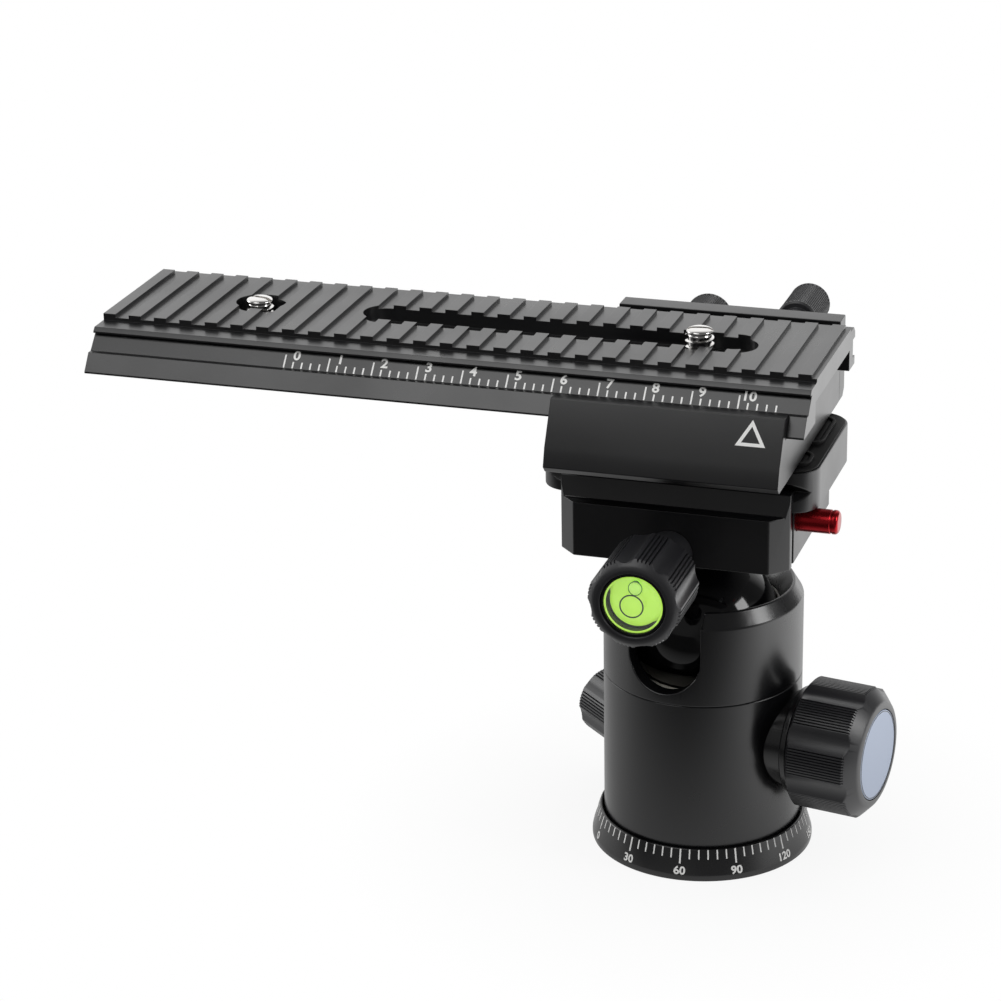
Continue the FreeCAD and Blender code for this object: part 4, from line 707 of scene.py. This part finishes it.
# --- clamp, jaw, plate and rail -----------------------------------------------

RAIL_END_CHAMFER = (27.5, 0, 117.5), (1, 0, 1)  # a point on it and where it faces
PIN_SIDE, PIN_HEIGHT = -14.5, 84.1

for node, body, ease in (
        ("clamp_base", "clamp", 0.3),
        ("clamp_jaw", "jaw", 0.3),
        ("quick_release_plate", "carriage", 0.25),
        ("carriage", "carriage", 0.2),
        ("rear_jaw", "carriage", 0.25)):
    fit(eased_copy(node, ease), body, anodised, [node])
fit(eased_copy("rail", 0.08, chamfer=RAIL_END_CHAMFER), "rail", extruded,
    ["rail"])

pin = turned("safety_pin_red", [
    (0, 15), (2.6, 15, 0.1),  # its end in the clamp
    (2.6, 31.2, 0), (2.45, 31.35, 0), (2.45, 31.6, 0), (2.6, 31.75, 0),  # the turned ring
    (2.6, 32.5, 0.3), (2.1, 33, 0.3), (0, 33)], steps=64)
fit(set_down(shaded(pin), standing(0, PIN_SIDE, PIN_HEIGHT, "+x")), "safety_pin", red_pin,
    ["safety_pin"])

# --- rubber on the quick-release plate ----------------------------------------

SHEET_ENDS = ((19.5, 28.2), (-22.1, -30.8))  # from the middle outwards along X
SHEET_SIDES, SHEET_FOOT, SHEET_TOP = (-19.7, 17.5), 96.12, 96.5
PAD_STARTS, PAD_LENGTH, PAD_SIDES = (-29.1, 19.5), 7, ((-16.6, -8.4), (-3.6, 13.4))
PAD_FOOT, PAD_TOP = 95.25, 97.28
RUBBER_EASE = 0.12


def is_upright(piece, edge):
    """Whether an edge of a block stands upright."""
    one, other = (piece.data.vertices[v].co for v in edge.vertices)
    return (one - other).xy.length < HAIR


def rubber_pad(low, high):
    """A rubber pad with round ends and a raised rim."""
    corner, rim, slope, dish = 3, 0.7, 0.3, 0.45
    piece = block("pad", low, high)
    pick(piece, "EDGE", lambda e: is_upright(piece, e))
    bpy.ops.mesh.bevel(offset=corner * MM, segments=8, affect="EDGES")
    bpy.ops.object.mode_set(mode="OBJECT")
    pick(piece, "FACE", lambda f: f.normal.z > 0.9)
    bpy.ops.mesh.inset(thickness=rim * MM)
    bpy.ops.mesh.inset(thickness=slope * MM)
    bpy.ops.transform.translate(value=(0, 0, -dish * MM))
    bpy.ops.object.mode_set(mode="OBJECT")
    return shaded(piece, RUBBER_EASE)


def rubber_sheet(inner, outer):
    """One end of the thin sheet that carries the pads, with its outer corners rounded."""
    corner = 5.6
    near, far = SHEET_SIDES
    piece = block("sheet", (min(inner, outer), near, SHEET_FOOT),
                  (max(inner, outer), far, SHEET_TOP))
    pick(piece, "EDGE", lambda e: is_upright(piece, e)
         and abs(piece.data.vertices[e.vertices[0]].co.x - outer * MM) < HAIR)
    bpy.ops.mesh.bevel(offset=corner * MM, segments=10, affect="EDGES")
    bpy.ops.object.mode_set(mode="OBJECT")
    return shaded(piece, RUBBER_EASE)


pads = [rubber_sheet(inner, outer) for inner, outer in SHEET_ENDS]
for start in PAD_STARTS:
    for near, far in PAD_SIDES:
        pads.append(rubber_pad((start, near, PAD_FOOT), (start + PAD_LENGTH, far, PAD_TOP)))
fit(joined("rubber_pads", pads), "carriage", rubber, ["plate_pads"])

# --- camera screws ------------------------------------------------------------

TOP_CLEARANCE = 0.03  # the crown stays this far below the solid's top
THREAD_PITCH, THREAD_RADIUS = 1.27, 3.1
THREAD_FOOT, THREAD_LENGTH = 4.8, 3.2  # where it starts, below the screw's end
HEAD_FOOT, HEAD_TOP, HEAD_RADIUS, NECK_RADIUS = 108.9, 111.3, 5.2, 2.6
SLOT_WIDTH, SLOT_DEPTH, CUTTER_REACH = 1.0, 0.9, 4


def camera_screw(name, top):
    """A captive screw: flat head below, thinned neck, threaded end with a crowned, slotted cap."""
    end = top - TOP_CLEARANCE
    shank = turned(name, [
        (0, HEAD_FOOT), (HEAD_RADIUS, HEAD_FOOT, 0.3), (HEAD_RADIUS, HEAD_TOP, 0.2),
        (NECK_RADIUS, HEAD_TOP, 0.1), (NECK_RADIUS, end - 1.6, 0.1),  # the neck
        (2.45, end - 1.35, 0.05), (2.45, end - 1.2, 0.05),  # the groove below the cap
        (2.9, end - 1.15, 0.1), (2.9, end - 0.55, 0.3), (2.0, end - 0.1, 0.6), (0, end)])
    cutter = block("slot", (-CUTTER_REACH, -SLOT_WIDTH / 2, end - SLOT_DEPTH),
                   (CUTTER_REACH, SLOT_WIDTH / 2, end + SLOT_WIDTH))
    cut_out(shank, cutter)
    ridge = thread(name + "_thread", THREAD_RADIUS, THREAD_PITCH, end - THREAD_FOOT,
                   THREAD_LENGTH)
    return shaded(joined(name, [shank, ridge]), sharper_than=25)


for node, name, top, slot_turn in (
        ("slot_screw", "slot_camera_screw", 120.1, 10),
        ("eye_screw", "eye_camera_screw", 118.6, -12)):
    piece = camera_screw(name, top)
    set_down(piece, on_joint(node + "_turn", "+z")
             @ Matrix.Rotation(math.radians(slot_turn), 4, "Z"))
    fit(piece, node, chrome, [node])

# --- printed marks on the rail and the front jaw ------------------------------

BAND_TOP, BAND_FOOT = Vector((0, -22.3, 114.8)), Vector((0, -25.5, 111.4))
band_up = (BAND_TOP - BAND_FOOT).normalized()
SCALE_ZERO = -86.6  # the place of the zero along X
SCALE_TICKS, TICK_STEP, LONG_EVERY = 55, 2, 5  # a tick every 2 mm, and a long one every 10
TICK_WIDTH, TICK_LENGTH, LONG_LENGTH, SCALE_FOOT = 0.34, 1.5, 3.05, 0.12
DIGIT_HEIGHT, DIGIT_FOOT = 2.15, 2.15


def on_band(piece, x, up):
    """Lays a mark drawn upright in XY on the rail's slanting band."""
    return set_down(piece, leaning(band_up, x, BAND_FOOT + band_up * up))


marks = []
for step in range(SCALE_TICKS):
    length = TICK_LENGTH if step % LONG_EVERY else LONG_LENGTH
    mark = tick("tick", TICK_WIDTH, length)
    marks.append(on_band(mark, SCALE_ZERO + TICK_STEP * step, SCALE_FOOT + length))
for number in range(SCALE_TICKS // LONG_EVERY):
    beside = 2.5 - 0.05 * number  # the numbers stand right of their ticks and close up on them
    digit = lettered(str(number), DIGIT_HEIGHT)
    marks.append(on_band(digit, SCALE_ZERO + TICK_STEP * LONG_EVERY * number + beside,
                         DIGIT_FOOT))
fit(printed("rail_scale", marks), "rail", ink)

JAW_TOP, JAW_BEND = Vector((0, -30, 111.9)), Vector((0, -35, 102.7))
INDEX_X, INDEX_HEIGHT = 17.9, 108.0
INDEX_RADIUS, INDEX_STROKE = 3.68, 0.7


def index_triangle():
    """The outlined triangle on the front jaw, at which the scale is read."""
    thickness = 0.03
    unselect()
    bpy.ops.mesh.primitive_circle_add(vertices=3, radius=INDEX_RADIUS * MM, fill_type="NGON")
    piece = bpy.context.object
    bpy.ops.object.mode_set(mode="EDIT")
    bpy.ops.mesh.select_mode(type="FACE")
    bpy.ops.mesh.select_all(action="SELECT")
    bpy.ops.mesh.inset(thickness=INDEX_STROKE * MM)
    bpy.ops.mesh.delete(type="FACE")
    bpy.ops.object.mode_set(mode="OBJECT")
    piece.name = "index_triangle"
    modified(piece, "SOLIDIFY", thickness=thickness * MM, offset=1)
    slope = JAW_BEND - JAW_TOP
    spot = JAW_TOP + slope * ((JAW_TOP.z - INDEX_HEIGHT) / (JAW_TOP.z - JAW_BEND.z))
    return set_down(piece, leaning((-slope).normalized(), INDEX_X, spot))


fit(index_triangle(), "carriage", ink)

# --- camera -------------------------------------------------------------------

AZIMUTH, ELEVATION, ROLL = (math.radians(degrees) for degrees in (18.01, 21.58, -1.03))
CAMERA_PLACE = Vector((161.5, -636.8, 340.4))
FOCAL_LENGTH, SENSOR_WIDTH = 116.81, 36
LENS_SHIFT = (-0.0041, -0.0007)  # shares of the sensor's width

look = Vector((-math.sin(AZIMUTH) * math.cos(ELEVATION),
               math.cos(AZIMUTH) * math.cos(ELEVATION), -math.sin(ELEVATION)))
sideways = Vector((math.cos(AZIMUTH), math.sin(AZIMUTH), 0))
upward = sideways.cross(look)
lens = bpy.data.cameras.new("camera")
lens.lens, lens.sensor_width = FOCAL_LENGTH, SENSOR_WIDTH
lens.shift_x, lens.shift_y = LENS_SHIFT
lens.clip_end = 20
camera = bpy.data.objects.new("camera", lens)
aim = Matrix((math.cos(ROLL) * sideways + math.sin(ROLL) * upward,
              -math.sin(ROLL) * sideways + math.cos(ROLL) * upward, -look)).transposed().to_4x4()
aim.translation = CAMERA_PLACE * MM
camera.matrix_world = aim
bpy.context.scene.collection.objects.link(camera)
bpy.context.scene.camera = camera

# --- floor --------------------------------------------------------------------

# A painted reflection: how bright the floor glows for rays from metal only, by metres along Y and
# along X, darker in front of the object and brighter to its right.
FRONT_TO_BACK = {"From Min": -0.13, "From Max": -0.02, "To Min": 0.1, "To Max": 1.0}
LEFT_TO_RIGHT = {"From Min": -0.02, "From Max": 0.17, "To Min": 0.62, "To Max": 1.8}
# What share of it is plain white, by metres from the middle; the rest keeps the shadow.
MIDDLE_TO_EDGE = {"From Min": 0.03, "From Max": 0.085, "To Min": 0.88, "To Max": 1.0}


def white_paper():
    """Matt white paper: plain white to the eye, with a soft shadow about the base, and a painted
    reflection that metal sees darker in front and brighter to the right.
    """
    made, tree = material("white_paper")
    place = add(tree, "ShaderNodeTexCoord").outputs["Object"]
    fibre = add(tree, "ShaderNodeTexNoise", {"Scale": 1 / (2 * MM)}, {"Vector": place})
    tooth = add(tree, "ShaderNodeBump", {"Strength": 0.03, "Distance": 0.05 * MM},
                {"Height": fibre.outputs["Fac"]})
    sheet = add(tree, "ShaderNodeBsdfDiffuse", {"Color": colour("#f4f4f4")},
                {"Normal": tooth.outputs["Normal"]})
    path = add(tree, "ShaderNodeLightPath")
    along = add(tree, "ShaderNodeSeparateXYZ", None, {"Vector": place})
    # The painted reflection: glossy rays see the floor's glow shaped by these two ranges.
    depth = add(tree, "ShaderNodeMapRange", FRONT_TO_BACK, {"Value": along.outputs["Y"]})
    width = add(tree, "ShaderNodeMapRange", LEFT_TO_RIGHT, {"Value": along.outputs["X"]},
                interpolation_type="SMOOTHSTEP")
    shown = width.outputs["Result"]
    for operation, other in (("MULTIPLY", depth.outputs["Result"]),
                             ("MULTIPLY", path.outputs["Is Glossy Ray"]),
                             ("MAXIMUM", path.outputs["Is Camera Ray"]),
                             ("MAXIMUM", path.outputs["Is Transmission Ray"])):
        shown = add(tree, "ShaderNodeMath", None, {0: shown, 1: other},
                    operation=operation).outputs["Value"]
    glow = add(tree, "ShaderNodeEmission", {"Color": colour("#ffffff")}, {"Strength": shown})
    away = add(tree, "ShaderNodeVectorMath", None, {0: place}, operation="LENGTH")
    plain = add(tree, "ShaderNodeMapRange", MIDDLE_TO_EDGE, {"Value": away.outputs["Value"]})
    lit = add(tree, "ShaderNodeMixShader", None, {
        0: plain.outputs["Result"], 1: sheet.outputs["BSDF"], 2: glow.outputs["Emission"]})
    add(tree, "ShaderNodeOutputMaterial", None, {"Surface": lit.outputs["Shader"]})
    return made


FLOOR_SIZE = 6  # metres

unselect()
bpy.ops.mesh.primitive_plane_add(size=FLOOR_SIZE)
floor = bpy.context.object
floor.name = "floor"
floor.data.materials.append(white_paper())

# --- light --------------------------------------------------------------------

ROOM_IN_METAL, ROOM_LIGHT = 0.12, 0.6  # how bright the room looks in metal, and its own light
# Cards that metal shows: where each stands, how near to it they begin and are full (cosines),
# and how bright they are. A white one low behind, two at the sides, a grey one in front.
CARDS = (
    ((-0.3, 0.88, 0.37), 0.45, 0.92, 1.12),
    ((0.9, 0.1, -0.1), 0.8, 0.98, 0.8),
    ((-0.9, 0.3, 0.2), 0.6, 0.95, 0.9),
    ((-0.27, -0.9, 0.35), 0.7, 0.97, 0.22),
)


def studio():
    """A room that the eye sees white and metal sees dark, with its cards."""
    world = bpy.data.worlds.new("studio")
    world.use_nodes = True
    tree = world.node_tree
    tree.nodes.clear()
    path = add(tree, "ShaderNodeLightPath")
    way = add(tree, "ShaderNodeTexCoord")
    room = add(tree, "ShaderNodeValue").outputs[0]
    room.default_value = ROOM_IN_METAL
    for toward, start, end, brightness in CARDS:
        near = add(tree, "ShaderNodeVectorMath", {1: Vector(toward).normalized()},
                   {0: way.outputs["Generated"]}, operation="DOT_PRODUCT")
        card = add(tree, "ShaderNodeMapRange", {
            "From Min": start, "From Max": end, "To Max": brightness},
            {"Value": near.outputs["Value"]}, interpolation_type="SMOOTHSTEP")
        room = add(tree, "ShaderNodeMath", None, {0: room, 1: card.outputs["Result"]},
                   operation="MAXIMUM").outputs["Value"]
    soft = add(tree, "ShaderNodeMix", {"B": ROOM_LIGHT}, {
        "Factor": path.outputs["Is Diffuse Ray"], "A": room})
    seen = add(tree, "ShaderNodeMath", None, {
        0: path.outputs["Is Camera Ray"], 1: soft.outputs["Result"]}, operation="MAXIMUM")
    sky = add(tree, "ShaderNodeBackground", {"Color": colour("#ffffff")},
              {"Strength": seen.outputs["Value"]})
    add(tree, "ShaderNodeOutputWorld", None, {"Surface": sky.outputs["Background"]})
    return world


def soft_box(name, place, target, width, height, watts):
    """A soft box that points at a target; its place and size are in metres."""
    lamp = bpy.data.lights.new(name, "AREA")
    lamp.shape, lamp.size, lamp.size_y, lamp.energy = "RECTANGLE", width, height, watts
    box = bpy.data.objects.new(name, lamp)
    box.location = place
    box.rotation_euler = (Vector(target) - Vector(place)).to_track_quat("-Z", "Y").to_euler()
    bpy.context.scene.collection.objects.link(box)


bpy.context.scene.world = studio()
soft_box("front_box", (-0.29, -0.53, 0.88), (0, 0, 0.08), width=0.6, height=0.6, watts=1.9)
soft_box("right_box", (0.88, -0.05, 0.5), (0, 0, 0.06), width=0.32, height=0.33, watts=2.3)
soft_box("left_box", (-0.9, 0.1, 0.3), (0, 0, 0.06), width=0.3, height=0.6, watts=1.2)

bpy.context.scene.view_settings.view_transform = "Standard"

unselect()
